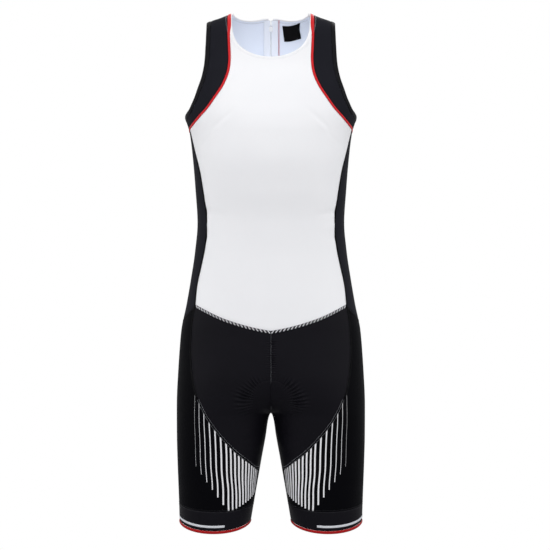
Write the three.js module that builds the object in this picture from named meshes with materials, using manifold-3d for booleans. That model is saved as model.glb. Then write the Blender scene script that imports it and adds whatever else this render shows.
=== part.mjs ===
// A sleeveless one-piece triathlon suit with short legs, filled out as when it is worn, with no wearer.
// Millimetres. +Z is up, the front faces -Y, and +X is the wearer's left.
// The origin is midway between the shoulder straps, at the height where the shoulders carry them.
//
// Every cloth piece is a thin wall that lies on one smooth figure. The figure is a stack of rounded
// sections, with one leg centre on each side below the hips. The seams are curves on that figure, and
// the pieces on both sides of a seam take their edge points from the same curve.
import * as THREE from "three";
import { mergeVertices } from "three/addons/utils/BufferGeometryUtils.js";
import Module from "manifold-3d";

// Thicknesses and small widths
const CLOTH = 1.5;
const TRIM_PROUD = 0.4;
// How far a wall's outer and inner face stand out from the figure
const CLOTH_DEPTH = [0, -CLOTH];
const TRIM_DEPTH = [TRIM_PROUD, -CLOTH];
const EDGE_INSET = 0.25;
const LAYER_GAP = 0.3;
const PIPING_WIDTH = 5.2;
const ARM_BINDING_WIDTH = 8;
const NECK_BINDING_WIDTH = 3.6;

// The figure's section is |across / half width|^ROUNDNESS + |depth|^ROUNDNESS = 1
const ROUNDNESS = 2.3;
// Radius of the arch between the legs at the crotch
const CROTCH_SOFTNESS = 4;

// Sections of the figure: height, half width, how far each leg's centre is from the middle,
// and how far the front and the back stand out
const FIGURE = [
  { z: 26, wide: 58, leg: 0, front: 35, back: 38 },
  { z: 0, wide: 70, leg: 0, front: 40, back: 44 },
  { z: -9, wide: 88.5, leg: 0, front: 43, back: 48 },
  { z: -18.4, wide: 114.8, leg: 0, front: 48, back: 55 },
  { z: -36, wide: 143, leg: 0, front: 57, back: 67 },
  { z: -60, wide: 156, leg: 0, front: 64, back: 80 },
  { z: -90, wide: 163, leg: 0, front: 73, back: 92 },
  { z: -130, wide: 165.5, leg: 0, front: 91, back: 102 },
  { z: -165, wide: 161.5, leg: 0, front: 105, back: 106 },
  { z: -190.8, wide: 154, leg: 0, front: 114, back: 107 },
  { z: -217, wide: 146, leg: 0, front: 119, back: 106 },
  { z: -260, wide: 140.5, leg: 0, front: 121, back: 102 },
  { z: -320, wide: 135.5, leg: 0, front: 114, back: 92 },
  { z: -378, wide: 132, leg: 0, front: 105, back: 85 },
  { z: -430, wide: 136.5, leg: 0, front: 103, back: 88 },
  { z: -480, wide: 144, leg: 0, front: 105, back: 98 },
  { z: -526, wide: 152, leg: 0, front: 108, back: 109 },
  { z: -570, wide: 161, leg: 0, front: 110, back: 118 },
  { z: -610, wide: 164.5, leg: 12, front: 111, back: 122 },
  { z: -650, wide: 167, leg: 38, front: 110, back: 121 },
  { z: -685, wide: 168.8, leg: 62, front: 105, back: 115 },
  { z: -705, wide: 169.2, leg: 76, front: 100, back: 108 },
  { z: -720, wide: 169.2, leg: 86.6, front: 96, back: 102 },
  { z: -760, wide: 169, leg: 89.5, front: 90, back: 94 },
  { z: -800, wide: 168, leg: 92.5, front: 85, back: 88 },
  { z: -870, wide: 165.4, leg: 97.2, front: 79, back: 80 },
  { z: -940, wide: 163.2, leg: 102, front: 74, back: 75 },
];

// Seams seen from the front: distance from the middle, and height. The back uses the same ones.
const SHOULDER_SEAM = { neck: 73, arm: 114.8 };
const PIPING_TOP = [
  { x: 73, z: -9 },
  { x: 73, z: -20 },
  { x: 72.8, z: -43 },
];
const PIPING_LOWER = [
  { x: 71, z: -94 },
  { x: 75, z: -118 },
  { x: 89, z: -147 },
  { x: 109.6, z: -176 },
  { x: 135.5, z: -203.5 },
];
const PIPING_UNDERARM = -217;
const ARMHOLE = [
  { x: 115, z: -24 },
  { x: 115.2, z: -36 },
  { x: 116, z: -57 },
  { x: 117.4, z: -87 },
  { x: 120.2, z: -109 },
  { x: 126, z: -131 },
  { x: 136.6, z: -160 },
  { x: 145.5, z: -177.5 },
];
const ARMHOLE_UNDERARM = -190.8;
const NECK_FRONT = [
  { x: 0, z: -89 },
  { x: 9, z: -88.3 },
  { x: 31, z: -83.5 },
  { x: 47, z: -76 },
  { x: 61, z: -66 },
  { x: 69, z: -55.5 },
  { x: 72.8, z: -43 },
];
const NECK_BACK = [
  { x: 0, z: -7.2 },
  { x: 9, z: -7.2 },
  { x: 24, z: -9.4 },
  { x: 40, z: -10.4 },
  { x: 57, z: -8 },
  { x: 73, z: -2 },
];
const WAIST_SEAM = [
  { x: 0, z: -572 },
  { x: 24, z: -567.5 },
  { x: 50, z: -561 },
  { x: 88, z: -548.5 },
  { x: 112, z: -537.5 },
  { x: 134, z: -526 },
];
const SIDE_SEAM = [
  { z: -217, x: 145.3 },
  { z: -238, x: 139 },
  { z: -260, x: 132 },
  { z: -315, x: 120.9 },
  { z: -368, x: 113.6 },
  { z: -389, x: 112.8 },
  { z: -411, x: 114.6 },
  { z: -445, x: 120.7 },
  { z: -493, x: 131 },
  { z: -526, x: 134 },
];
const LEG_SEAM = [
  { z: -526, x: 134 },
  { z: -545, x: 137.5 },
  { z: -572, x: 140.2 },
  { z: -603, x: 141.7 },
  { z: -628, x: 140.2 },
  { z: -671, x: 134.2 },
  { z: -695, x: 125.6 },
  { z: -729, x: 108 },
  { z: -752, x: 90.3 },
  { z: -772, x: 72.3 },
  { z: -787, x: 57 },
  { z: -803, x: 37.5 },
  { z: -815, x: 25 },
];
// The seam at the back of the leg stays this far round from the side, in degrees
const BACK_LEG_SEAM = [
  { z: -526, turn: 24.2 },
  { z: -610, turn: 25 },
  { z: -720, turn: 30 },
  { z: -890, turn: 34 },
];

const HIP_SEAM = { corner: -526, dip: 25, fadesAt: -640 };
const WAIST_SEAM_FADES_AT = -700;
const CROTCH = -720;
const INSIDE_LEG = -90;
const LEG_SEAM_END = -817;
const BAND_SEAM = { front: -889, sideLift: 9, fadesAt: -817 };
// Rows of the band at the hem, at the front and at the sides
const BAND_ROWS = [
  { front: -889, side: -880 },
  { front: -914.2, side: -901 },
  { front: -918.2, side: -905 },
  { front: -923.8, side: -910 },
  { front: -929, side: -915 },
];
// The columns of the leg panel between which the light line runs above the hem
const HEM_LINE = { from: 4, to: 12, depth: [1.1, 0.3] };

// Rows of the trunk's pieces down the side seam, and of the shorts down to the leg band
const TRUNK_ROWS = [-526, -491, -456, -421, -386, -351, -316, -281, -246];
const HIP_ROWS = [-526, -550, -575, -602, -630, -660, -686, -704, -715, CROTCH];
const THIGH_ROWS = [-723, -732, -750, -772, -795, LEG_SEAM_END];
const KNEE_ROWS = [-841, -865, BAND_SEAM.front];
// The rows above and below this height follow the bend of the neck and of the waist seam
const BEND_FROM = { front: -330, back: -200 };
const HIP_BEND_FROM = -386;
const TOP_STEPS = 3;
const ARM_STEPS = 10;
const FRONT_COLUMNS = 8;
const BACK_COLUMNS = 8;
const SIDE_COLUMNS = 12;
const YOKE_COLUMNS = 3;

// The zip down the middle of the back
const ZIP = {
  gap: 4.2,
  end: -456,
  closedAt: -491,
  tapeFrom: 2.2,
  tapeTo: 13.5,
  tapeDepth: [-1.85, -2.85],
  chainHalf: 1.7,
  chainDepth: [-0.9, -3],
  trimFrom: 13.9,
  trimTo: 15.7,
};
const SLIDER = {
  z: -20.5,
  length: 10,
  width: 7,
  topPlate: [-0.3, 0.8],
  bottomPlate: [-4.6, -3.5],
  post: { half: 1.1, from: 1.5, to: 4.5 },
  bail: { half: 0.9, span: 8.4, wall: 1, top: 4.4 },
};
const PULL_TAB = {
  height: 2.4,
  thick: 1,
  eyeHalf: 1.4,
  armWidth: 1.2,
  eyeTo: 5.8,
  taperFrom: 6.6,
  taperTo: 13.5,
  corner: 2,
  length: 25,
  endHalf: 3.4,
  tilt: 8,
};

// The sewn-in label and the padded seat
// The label lies on a few cells of the back's grid, counted from its top row and its first column
const LABEL = { rows: [1.35, 2, 3.05], columns: [2.05, 3, 4, 5.3], lean: 0.35, depth: [-2, -3] };
const PAD = { outer: -1.95, edge: 2, middle: 6.5, softEdge: 1.6 };
// How many columns of the shorts the pad covers in each of their rows, from the first row given
const PAD_SHAPE = {
  front: { firstRow: 4, columns: [1.2, 2.8, 3.7, 3.9, 3.8, 3.5, 3.2, 2.4, 1.2] },
  back: { firstRow: 2, columns: [1.4, 3, 4.2, 4.6, 4.7, 4.6, 4.4, 4.1, 3.6, 2.7, 1.2] },
};

const WHITE = { color: 0xf1f2f7, roughness: 0.6, metalness: 0 };
const BLACK = { color: 0x1b1c22, roughness: 0.62, metalness: 0 };
const RED = { color: 0xd8232c, roughness: 0.5, metalness: 0 };
const GREY = { color: 0x9fa3aa, roughness: 0.5, metalness: 0 };
const ZIP_WHITE = { color: 0xe6eaf4, roughness: 0.5, metalness: 0 };

// A smooth line through a table's rows that never overshoots them. `key` is the column it is read by.
function read(table, column, at, key = "z") {
  const rows = table[0][key] < table[table.length - 1][key] ? table : [...table].reverse();
  const last = rows.length - 1;
  const steepness = (i) => (rows[i + 1][column] - rows[i][column]) / (rows[i + 1][key] - rows[i][key]);
  const slope = (i) => {
    if (i === 0) return steepness(0);
    if (i === last) return steepness(last - 1);
    const before = steepness(i - 1);
    const after = steepness(i);
    return before * after > 0 ? (2 * before * after) / (before + after) : 0;
  };
  if (at <= rows[0][key]) return rows[0][column] + slope(0) * (at - rows[0][key]);
  if (at >= rows[last][key]) return rows[last][column] + slope(last) * (at - rows[last][key]);
  let i = 0;
  while (rows[i + 1][key] < at) i += 1;
  const span = rows[i + 1][key] - rows[i][key];
  const t = (at - rows[i][key]) / span;
  const from = rows[i][column];
  const to = rows[i + 1][column];
  const s = t * t * (3 - 2 * t);
  return from + (to - from) * s + span * t * (1 - t) * (slope(i) * (1 - t) - slope(i + 1) * t);
}

function section(z) {
  const leg = read(FIGURE, "leg", z);
  const [front, back] = [read(FIGURE, "front", z), read(FIGURE, "back", z)];
  return { leg, half: read(FIGURE, "wide", z) - leg, front, back };
}

// 0 on the figure, below it inside, and about the share of a radius away elsewhere
function offFigure(p) {
  const s = section(p.z);
  const across = Math.abs(Math.hypot(p.x, CROTCH_SOFTNESS) - s.leg) / s.half;
  const deep = Math.abs(p.y) / (p.y < 0 ? s.front : s.back);
  return (across ** ROUNDNESS + deep ** ROUNDNESS) ** (1 / ROUNDNESS) - 1;
}

function gradient(p) {
  const h = 0.4;
  const along = (axis) => {
    const ahead = p.clone();
    const behind = p.clone();
    ahead[axis] += h;
    behind[axis] -= h;
    return (offFigure(ahead) - offFigure(behind)) / (2 * h);
  };
  return new THREE.Vector3(along("x"), along("y"), along("z"));
}

const outward = (p) => gradient(p).normalize();

// Moves a point that is near the figure onto it
function settle(p) {
  const q = p.clone();
  for (let i = 0; i < 8; i += 1) {
    const g = gradient(q);
    q.addScaledVector(g, -offFigure(q) / g.lengthSq());
  }
  return q;
}

// The point at an angle about the leg's centre: 0 is the front, 90 the outer side, 180 the back
function around(degrees, z) {
  const s = section(z);
  const turn = THREE.MathUtils.degToRad(degrees);
  const across = Math.abs(Math.sin(turn)) / s.half;
  const deep = Math.abs(Math.cos(turn)) / (Math.cos(turn) > 0 ? s.front : s.back);
  const reach = (across ** ROUNDNESS + deep ** ROUNDNESS) ** (-1 / ROUNDNESS);
  const fromMiddle = s.leg + reach * Math.sin(turn);
  const x = Math.sqrt(Math.max(0, fromMiddle ** 2 - CROTCH_SOFTNESS ** 2));
  return new THREE.Vector3(x, -reach * Math.cos(turn), z);
}

// The angle of the point that shows at x, z from the front, or from the back
function angleAt(x, z, side = "front") {
  const s = section(z);
  const across = Math.hypot(x, CROTCH_SOFTNESS) - s.leg;
  const share = Math.min(1, Math.abs(across) / s.half);
  const deep = (side === "front" ? s.front : s.back) * (1 - share ** ROUNDNESS) ** (1 / ROUNDNESS);
  const degrees = THREE.MathUtils.radToDeg(Math.atan2(across, deep));
  return side === "front" ? degrees : 180 - degrees;
}

const shown = (x, z, side = "front") => around(angleAt(x, z, side), z);
const angleOf = (p) =>
  THREE.MathUtils.radToDeg(Math.atan2(Math.hypot(p.x, CROTCH_SOFTNESS) - section(p.z).leg, -p.y));

// The top of the shoulder at a distance from the middle
function ridge(x) {
  let low = -60;
  let high = 26;
  for (let i = 0; i < 40; i += 1) {
    const z = (low + high) / 2;
    if (read(FIGURE, "wide", z) > x) low = z;
    else high = z;
  }
  return new THREE.Vector3(x, 0, low);
}

// Evenly spaced points on the figure along a smooth curve through a few of its points
function curve(points, steps) {
  const rows = points.map((p) => ({ at: 0, x: p.x, y: p.y, z: p.z }));
  for (let i = 1; i < rows.length; i += 1) rows[i].at = rows[i - 1].at + points[i].distanceTo(points[i - 1]);
  const length = rows[rows.length - 1].at;
  return Array.from({ length: steps + 1 }, (_, i) => {
    const at = (length * i) / steps;
    return settle(new THREE.Vector3(...["x", "y", "z"].map((c) => read(rows, c, at, "at"))));
  });
}

// A curve beside another on the figure. It lies to the left of its direction, seen from outside.
function beside(line, distance) {
  return line.map((p, i) => {
    const ahead = line[Math.min(i + 1, line.length - 1)];
    const behind = line[Math.max(i - 1, 0)];
    const left = outward(p).cross(new THREE.Vector3().subVectors(ahead, behind)).normalize();
    return settle(p.clone().addScaledVector(left, distance));
  });
}

// Moves the points at the edges of a grid inwards, so that neighbouring pieces stay apart
function drawnIn(grid, inset) {
  const last = { row: grid.length - 1, column: grid[0].length - 1 };
  return grid.map((row, i) =>
    row.map((p, j) => {
      const q = p.clone();
      const pull = (to) => q.add(new THREE.Vector3().subVectors(to, p).setLength(inset));
      if (i === 0) pull(grid[1][j]);
      if (i === last.row) pull(grid[i - 1][j]);
      if (j === 0) pull(row[1]);
      if (j === last.column) pull(row[j - 1]);
      return q;
    }),
  );
}

// A closed wall over a grid of points, between two depths measured outwards from the figure
function wall(grid, depths) {
  const points = drawnIn(grid, EDGE_INSET);
  const rows = points.length;
  const columns = points[0].length;
  const at = (i, j, inner) => (inner ? rows * columns : 0) + i * columns + j;
  const positions = [];
  for (const depth of depths)
    for (const p of points.flat()) positions.push(...p.clone().addScaledVector(outward(p), depth).toArray());
  const faces = [];
  const quad = (a, b, c, d) => faces.push(a, b, c, a, c, d);
  // Each cell is split along its shorter diagonal
  for (let i = 0; i < rows - 1; i += 1)
    for (let j = 0; j < columns - 1; j += 1) {
      const falls = points[i][j].distanceTo(points[i + 1][j + 1]);
      const rises = points[i][j + 1].distanceTo(points[i + 1][j]);
      const corners = [[i, j], [i, j + 1], [i + 1, j + 1], [i + 1, j]];
      if (rises < falls) corners.push(corners.shift());
      quad(...corners.map(([r, c]) => at(r, c, 0)));
      const [first, ...rest] = corners.map(([r, c]) => at(r, c, 1));
      quad(first, ...rest.reverse());
    }
  for (let j = 0; j < columns - 1; j += 1) {
    quad(at(0, j, 0), at(0, j, 1), at(0, j + 1, 1), at(0, j + 1, 0));
    quad(at(rows - 1, j, 0), at(rows - 1, j + 1, 0), at(rows - 1, j + 1, 1), at(rows - 1, j, 1));
  }
  for (let i = 0; i < rows - 1; i += 1) {
    quad(at(i, 0, 0), at(i + 1, 0, 0), at(i + 1, 0, 1), at(i, 0, 1));
    quad(at(i, columns - 1, 0), at(i, columns - 1, 1), at(i + 1, columns - 1, 1), at(i + 1, columns - 1, 0));
  }
  const middle = [Math.floor((rows - 1) / 2), Math.floor((columns - 1) / 2)];
  const here = points[middle[0]][middle[1]];
  const right = new THREE.Vector3().subVectors(points[middle[0]][middle[1] + 1], here);
  const down = new THREE.Vector3().subVectors(points[middle[0] + 1][middle[1]], here);
  if (right.cross(down).dot(outward(here)) < 0) faces.reverse();
  return new THREE.BufferGeometry()
    .setAttribute("position", new THREE.Float32BufferAttribute(positions, 3))
    .setIndex(faces);
}

const mirrored = (grid) => grid.map((row) => row.map((p) => new THREE.Vector3(-p.x, p.y, p.z)));
const strip = (first, second, columns = 1) =>
  first.map((p, i) =>
    Array.from({ length: columns + 1 }, (_, j) => {
      const between = p.clone().lerp(second[i], j / columns);
      return j === 0 || j === columns ? between : settle(between);
    }),
  );

// The angles where a row starts and ends at the middle of the body, or on the inside of the leg
const frontMiddle = (z) => (z > CROTCH ? angleAt(0, z, "front") : INSIDE_LEG);
const backMiddle = (z) => (z > CROTCH ? angleAt(0, z, "back") : INSIDE_LEG + 360);

// A height on a seam given by its distance from the middle, for the point at an angle
function seamHeight(seam, degrees, start) {
  let z = start;
  for (let i = 0; i < 12; i += 1) z = read(seam, "z", around(degrees, z).x, "x");
  return z;
}

const group = new THREE.Group();
function add(name, geometry, finish) {
  const mesh = new THREE.Mesh(geometry, new THREE.MeshStandardMaterial(finish));
  mesh.name = name;
  group.add(mesh);
  return mesh;
}
function addPair(name, grid, depths, finish) {
  add(`${name}_left`, wall(grid, depths), finish);
  add(`${name}_right`, wall(mirrored(grid), depths), finish);
}

// Lines round the left armhole, from the top of the shoulder to under the arm
function armLines(side) {
  const top = ridge(SHOULDER_SEAM.neck);
  const onSide = ({ x, z }) => shown(x, z, side);
  const upper = [top, ...PIPING_TOP.map(onSide)];
  const lower = [upper[3], ...PIPING_LOWER.map(onSide), around(90, PIPING_UNDERARM)];
  const inner = [...curve(upper, TOP_STEPS), ...curve(lower, ARM_STEPS).slice(1)];
  const opening = [ridge(SHOULDER_SEAM.arm), ...ARMHOLE.map(onSide), around(90, ARMHOLE_UNDERARM)];
  const edge = curve(opening, TOP_STEPS + ARM_STEPS);
  const toArm = side === "front" ? 1 : -1;
  return {
    piping: inner,
    pipingOuter: beside(inner, toArm * PIPING_WIDTH),
    binding: beside(edge, -toArm * ARM_BINDING_WIDTH),
    edge,
  };
}
const arm = { front: armLines("front"), back: armLines("back") };

// Both halves of a ring round the armhole meet under the arm and on the shoulder, in the plane y = 0
for (const lines of Object.values(arm))
  for (const line of [lines.pipingOuter, lines.binding]) {
    line[0] = ridge(line[0].x);
    line[line.length - 1] = around(90, line[line.length - 1].z);
  }

for (const side of ["front", "back"]) {
  const lines = arm[side];
  addPair(`${side}_piping`, strip(lines.piping, lines.pipingOuter), TRIM_DEPTH, RED);
  addPair(`${side}_yoke`, strip(lines.pipingOuter, lines.binding, YOKE_COLUMNS), CLOTH_DEPTH, BLACK);
  addPair(`${side}_armhole_binding`, strip(lines.binding, lines.edge), TRIM_DEPTH, BLACK);
}

// The side seams of the trunk, from the hip up to the piping
const lastPiping = arm.front.piping.length - 2;
function sideAngle(z, side) {
  const degrees = angleAt(read(SIDE_SEAM, "x", z), z, "front");
  return side === "front" ? degrees : 180 - degrees;
}

// Each row of a trunk piece: its height at the seam and the seam's angle there
function trunkRows(side) {
  const seam = TRUNK_ROWS.map((z) => ({ z, angle: sideAngle(z, side) }));
  const upTo = side === "front" ? TOP_STEPS : 0;
  const piping = [];
  for (let i = lastPiping; i >= upTo; i -= 1) {
    const p = arm[side].piping[i];
    piping.push({ z: p.z, angle: angleOf(p) });
  }
  return [...seam, ...piping];
}

const share = (i, steps) => i / steps;
const zipHalf = (z) => {
  const t = THREE.MathUtils.clamp((z - ZIP.closedAt) / (ZIP.end - ZIP.closedAt), 0, 1);
  return ZIP.gap * t * t * (3 - 2 * t);
};

// A half of the trunk's front or back, from the middle to the side, row by row upwards.
// The waist seam bends the lower rows and the neck seam the upper ones.
function trunkHalf(side, columns, neck) {
  const rows = trunkRows(side);
  const bottom = rows[0];
  const top = rows[rows.length - 1];
  const bendFrom = BEND_FROM[side];
  return rows.map(({ z, angle }) => {
    const low = THREE.MathUtils.clamp((z - bendFrom) / (bottom.z - bendFrom), 0, 1);
    const high = THREE.MathUtils.clamp((z - bendFrom) / (top.z - bendFrom), 0, 1);
    return Array.from({ length: columns + 1 }, (_, j) => {
      const u = share(j, columns);
      const middle = angleAt(side === "back" ? zipHalf(z) : 0, z, side);
      const degrees = middle + (angle - middle) * u;
      const dip = seamHeight(WAIST_SEAM, degreesAt(side, bottom, u), bottom.z) - bottom.z;
      const rise = seamHeight(neck, degreesAt(side, top, u), top.z) - top.z;
      const bent = u === 1 ? z : z + dip * low + rise * high;
      const q = u === 0 ? angleAt(side === "back" ? zipHalf(z) : 0, bent, side) : degrees;
      return around(q, bent);
    });
  });
}
function degreesAt(side, row, u) {
  const middle = angleAt(side === "back" ? zipHalf(row.z) : 0, row.z, side);
  return middle + (row.angle - middle) * u;
}

const frontHalf = trunkHalf("front", FRONT_COLUMNS, NECK_FRONT);
const frontGrid = frontHalf.map((row, i) => [...mirrored([row])[0].reverse(), ...row.slice(1)]);
add("front_body", wall(frontGrid, CLOTH_DEPTH), WHITE);
const backHalf = trunkHalf("back", BACK_COLUMNS, NECK_BACK);
addPair("back_body", backHalf, CLOTH_DEPTH, WHITE);

// The side panels, from under the arm to the hip
const sideGrid = [...TRUNK_ROWS, arm.front.piping[lastPiping].z].map((z, i, all) => {
  const atTop = i === all.length - 1;
  const from = atTop ? angleOf(arm.front.piping[lastPiping]) : sideAngle(z, "front");
  const to = atTop ? angleOf(arm.back.piping[lastPiping]) : sideAngle(z, "back");
  const low = THREE.MathUtils.clamp((z - HIP_BEND_FROM) / (HIP_SEAM.corner - HIP_BEND_FROM), 0, 1);
  return Array.from({ length: SIDE_COLUMNS + 1 }, (_, j) => {
    const u = share(j, SIDE_COLUMNS);
    const bow = 1 - (2 * u - 1) ** 2;
    const sag = atTop ? (PIPING_UNDERARM - z) * bow : -HIP_SEAM.dip * bow * low;
    return around(from + (to - from) * u, z + sag);
  });
});
addPair("side_panel", sideGrid, CLOTH_DEPTH, BLACK);

// The shorts. Every row starts on the inner line, which is the middle above the crotch and the inside
// of the leg below it, and ends on the leg seam in front or on the back seam behind.
const INNER_ROWS = [...HIP_ROWS, ...THIGH_ROWS, ...KNEE_ROWS];
const seamSteps = HIP_ROWS.length + THIGH_ROWS.length - 1;
const seamStart = LEG_SEAM.map(({ x, z }) => shown(x, z));
const legSeam = curve([...seamStart, around(INSIDE_LEG, LEG_SEAM_END)], seamSteps);
const backSeamHeight = (i) =>
  i > seamSteps ? INNER_ROWS[i] : HIP_SEAM.corner + ((LEG_SEAM_END - HIP_SEAM.corner) * i) / seamSteps;

const innerEdge = (middle) => ({ z: (i) => INNER_ROWS[i], angle: (i, z) => middle(z) });
const backEdge = { z: backSeamHeight, angle: (i, z) => 90 + read(BACK_LEG_SEAM, "turn", z) };
const frontEdge = {
  z: (i) => (i > seamSteps ? INNER_ROWS[i] : legSeam[i].z),
  angle: (i) => (i > seamSteps ? INSIDE_LEG : angleOf(legSeam[i])),
};
const faded = (z, start, end) => THREE.MathUtils.clamp((z - end) / (start - end), 0, 1);
const sideShare = (degrees) => Math.sin(THREE.MathUtils.degToRad(degrees)) ** 2;

// A piece of the shorts between two edges, with its top row given. `fadesAt` is the height where
// the rows no longer follow the bend of the top one.
function shortsPiece(topRow, rowCount, edges, fadesAt) {
  const [left, right] = edges;
  const columns = topRow.length - 1;
  const rows = [topRow];
  for (let i = 1; i < rowCount; i += 1)
    rows.push(
      topRow.map((top, j) => {
        const u = share(j, columns);
        const level = left.z(i) * (1 - u) + right.z(i) * u;
        const dip = (top.z - HIP_SEAM.corner) * faded(level, HIP_SEAM.corner, fadesAt);
        const z = level + dip;
        const degrees = left.angle(i, z) * (1 - u) + right.angle(i, z) * u;
        const lift = BAND_SEAM.sideLift * faded(level, BAND_SEAM.front, BAND_SEAM.fadesAt);
        return around(degrees, z + lift * sideShare(degrees));
      }),
    );
  return rows;
}

const allRows = INNER_ROWS.length;
const shortsFront = shortsPiece(
  frontHalf[0], seamSteps + 1, [innerEdge(frontMiddle), frontEdge], WAIST_SEAM_FADES_AT);
addPair("shorts_front", shortsFront, CLOTH_DEPTH, BLACK);
const shortsBack = shortsPiece(backHalf[0], allRows, [innerEdge(backMiddle), backEdge], WAIST_SEAM_FADES_AT);
addPair("shorts_back", shortsBack, CLOTH_DEPTH, BLACK);
const legPanel = shortsPiece(sideGrid[0], allRows, [frontEdge, backEdge], HIP_SEAM.fadesAt);
addPair("leg_panel", legPanel, CLOTH_DEPTH, BLACK);

// The band at the hem, its edging and the light line that lies on it
const bandAngles = [
  ...legPanel[allRows - 1].map((_, j) => {
    const u = share(j, SIDE_COLUMNS);
    return INSIDE_LEG * (1 - u) + backEdge.angle(allRows - 1, BAND_SEAM.front) * u;
  }),
  ...Array.from({ length: BACK_COLUMNS }, (_, j) => {
    const u = share(j + 1, BACK_COLUMNS);
    return backEdge.angle(allRows - 1, BAND_SEAM.front) * (1 - u) + (INSIDE_LEG + 360) * u;
  }),
];
const bandGrid = BAND_ROWS.map(({ front, side }) =>
  bandAngles.map((degrees) => around(degrees, front + (side - front) * sideShare(degrees))),
);
addPair("hem_band", bandGrid.slice(0, -1), CLOTH_DEPTH, BLACK);
addPair("hem_edge", bandGrid.slice(-2), TRIM_DEPTH, RED);
const hemLine = bandGrid.slice(1, 3).map((row) => row.slice(HEM_LINE.from, HEM_LINE.to + 1));
addPair("hem_line", hemLine, HEM_LINE.depth, WHITE);

// The neck binding: a closed rim in front, and a half on each side of the zip behind
const frontNeck = [...frontHalf[frontHalf.length - 1], ...arm.front.piping.slice(0, TOP_STEPS).reverse()];
const frontNeckEdge = beside(frontNeck, NECK_BINDING_WIDTH);
frontNeckEdge[0].x = 0;
frontNeckEdge[frontNeckEdge.length - 1] = ridge(SHOULDER_SEAM.neck - NECK_BINDING_WIDTH);
const frontBindingHalf = strip(frontNeck, frontNeckEdge);
const frontBinding = [...mirrored(frontBindingHalf).reverse(), ...frontBindingHalf.slice(1)];
add("neck_binding_front", wall(frontBinding, TRIM_DEPTH), WHITE);
const backNeck = backHalf[backHalf.length - 1];
const backNeckEdge = beside(backNeck, -NECK_BINDING_WIDTH);
backNeckEdge[0].x = ZIP.gap;
backNeckEdge[backNeckEdge.length - 1] = ridge(SHOULDER_SEAM.neck - NECK_BINDING_WIDTH);
addPair("neck_binding_back", strip(backNeck, backNeckEdge), TRIM_DEPTH, WHITE);

// The zip: its rows are those of the back's edge, so that the tapes lie under it evenly
const zipRows = backHalf.slice(TRUNK_ROWS.indexOf(ZIP.end));
const zipHeights = zipRows.map((row) => row[0].z);
const zipStrip = (from, to) => zipHeights.map((z) => [from, to].map((x) => shown(x, z, "back")));
addPair("zip_tape", zipStrip(ZIP.tapeFrom, ZIP.tapeTo), ZIP.tapeDepth, ZIP_WHITE);
add("zip_tape_edging", wall(zipStrip(ZIP.trimFrom, ZIP.trimTo), ZIP.tapeDepth), RED);

// The slider is drawn where it stands: across, up along the back and out from it
const sliderAt = shown(0, SLIDER.z, "back");
const sliderOut = outward(sliderAt);
const sliderUp = new THREE.Vector3(1, 0, 0).cross(sliderOut).negate();
if (sliderUp.z < 0) sliderUp.negate();
const sliderFrame = new THREE.Matrix4().makeBasis(
  new THREE.Vector3().crossVectors(sliderUp, sliderOut), sliderUp, sliderOut);
sliderFrame.setPosition(sliderAt);
const chainTop = sliderAt.z - SLIDER.length / 2 - LAYER_GAP;
const chainHeights = [...zipHeights.filter((z) => z < chainTop - SLIDER.length / 2), chainTop];
const chainGrid = chainHeights.map((z) => [
  shown(ZIP.chainHalf, z, "back"),
  shown(ZIP.chainHalf, z, "back").multiply(new THREE.Vector3(-1, 1, 1)),
]);
add("zip_chain", wall(chainGrid, ZIP.chainDepth), GREY);

const wasm = await Module();
wasm.setup();
const { Manifold, Mesh } = wasm;
function toSolid(geometry) {
  const welded = mergeVertices(geometry.clone().deleteAttribute("normal").deleteAttribute("uv"), 1e-4);
  return new Manifold(
    new Mesh({
      numProp: 3,
      vertProperties: new Float32Array(welded.attributes.position.array),
      triVerts: new Uint32Array(welded.index.array),
    }),
  );
}
function fromSolid(solid) {
  const mesh = solid.getMesh();
  return new THREE.BufferGeometry()
    .setAttribute("position", new THREE.Float32BufferAttribute(mesh.vertProperties, mesh.numProp))
    .setIndex([...mesh.triVerts]);
}
// A block between two corners in the slider's own directions
const block = (from, to) => {
  const size = to.map((v, i) => v - from[i]);
  const geometry = new THREE.BoxGeometry(...size);
  return geometry.translate(...from.map((v, i) => v + size[i] / 2));
};
const joined = (blocks) => fromSolid(Manifold.union(blocks.map(toSolid)));

const { bail, post } = SLIDER;
const halfWidth = SLIDER.width / 2;
const halfLength = SLIDER.length / 2;
const bailEnd = bail.span / 2;
const slider = joined([
  block([-halfWidth, -halfLength, SLIDER.topPlate[0]], [halfWidth, halfLength, SLIDER.topPlate[1]]),
  block([-halfWidth, -halfLength, SLIDER.bottomPlate[0]], [halfWidth, halfLength, SLIDER.bottomPlate[1]]),
  block([-post.half, post.from, SLIDER.bottomPlate[0]], [post.half, post.to, SLIDER.topPlate[1]]),
  block([-bail.half, -bailEnd, SLIDER.topPlate[0]], [bail.half, bail.wall - bailEnd, bail.top]),
  block([-bail.half, bailEnd - bail.wall, SLIDER.topPlate[0]], [bail.half, bailEnd, bail.top]),
  block([-bail.half, -bailEnd, bail.top - bail.wall], [bail.half, bailEnd, bail.top]),
]);
add("zip_slider", slider.applyMatrix4(sliderFrame), ZIP_WHITE);

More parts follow.
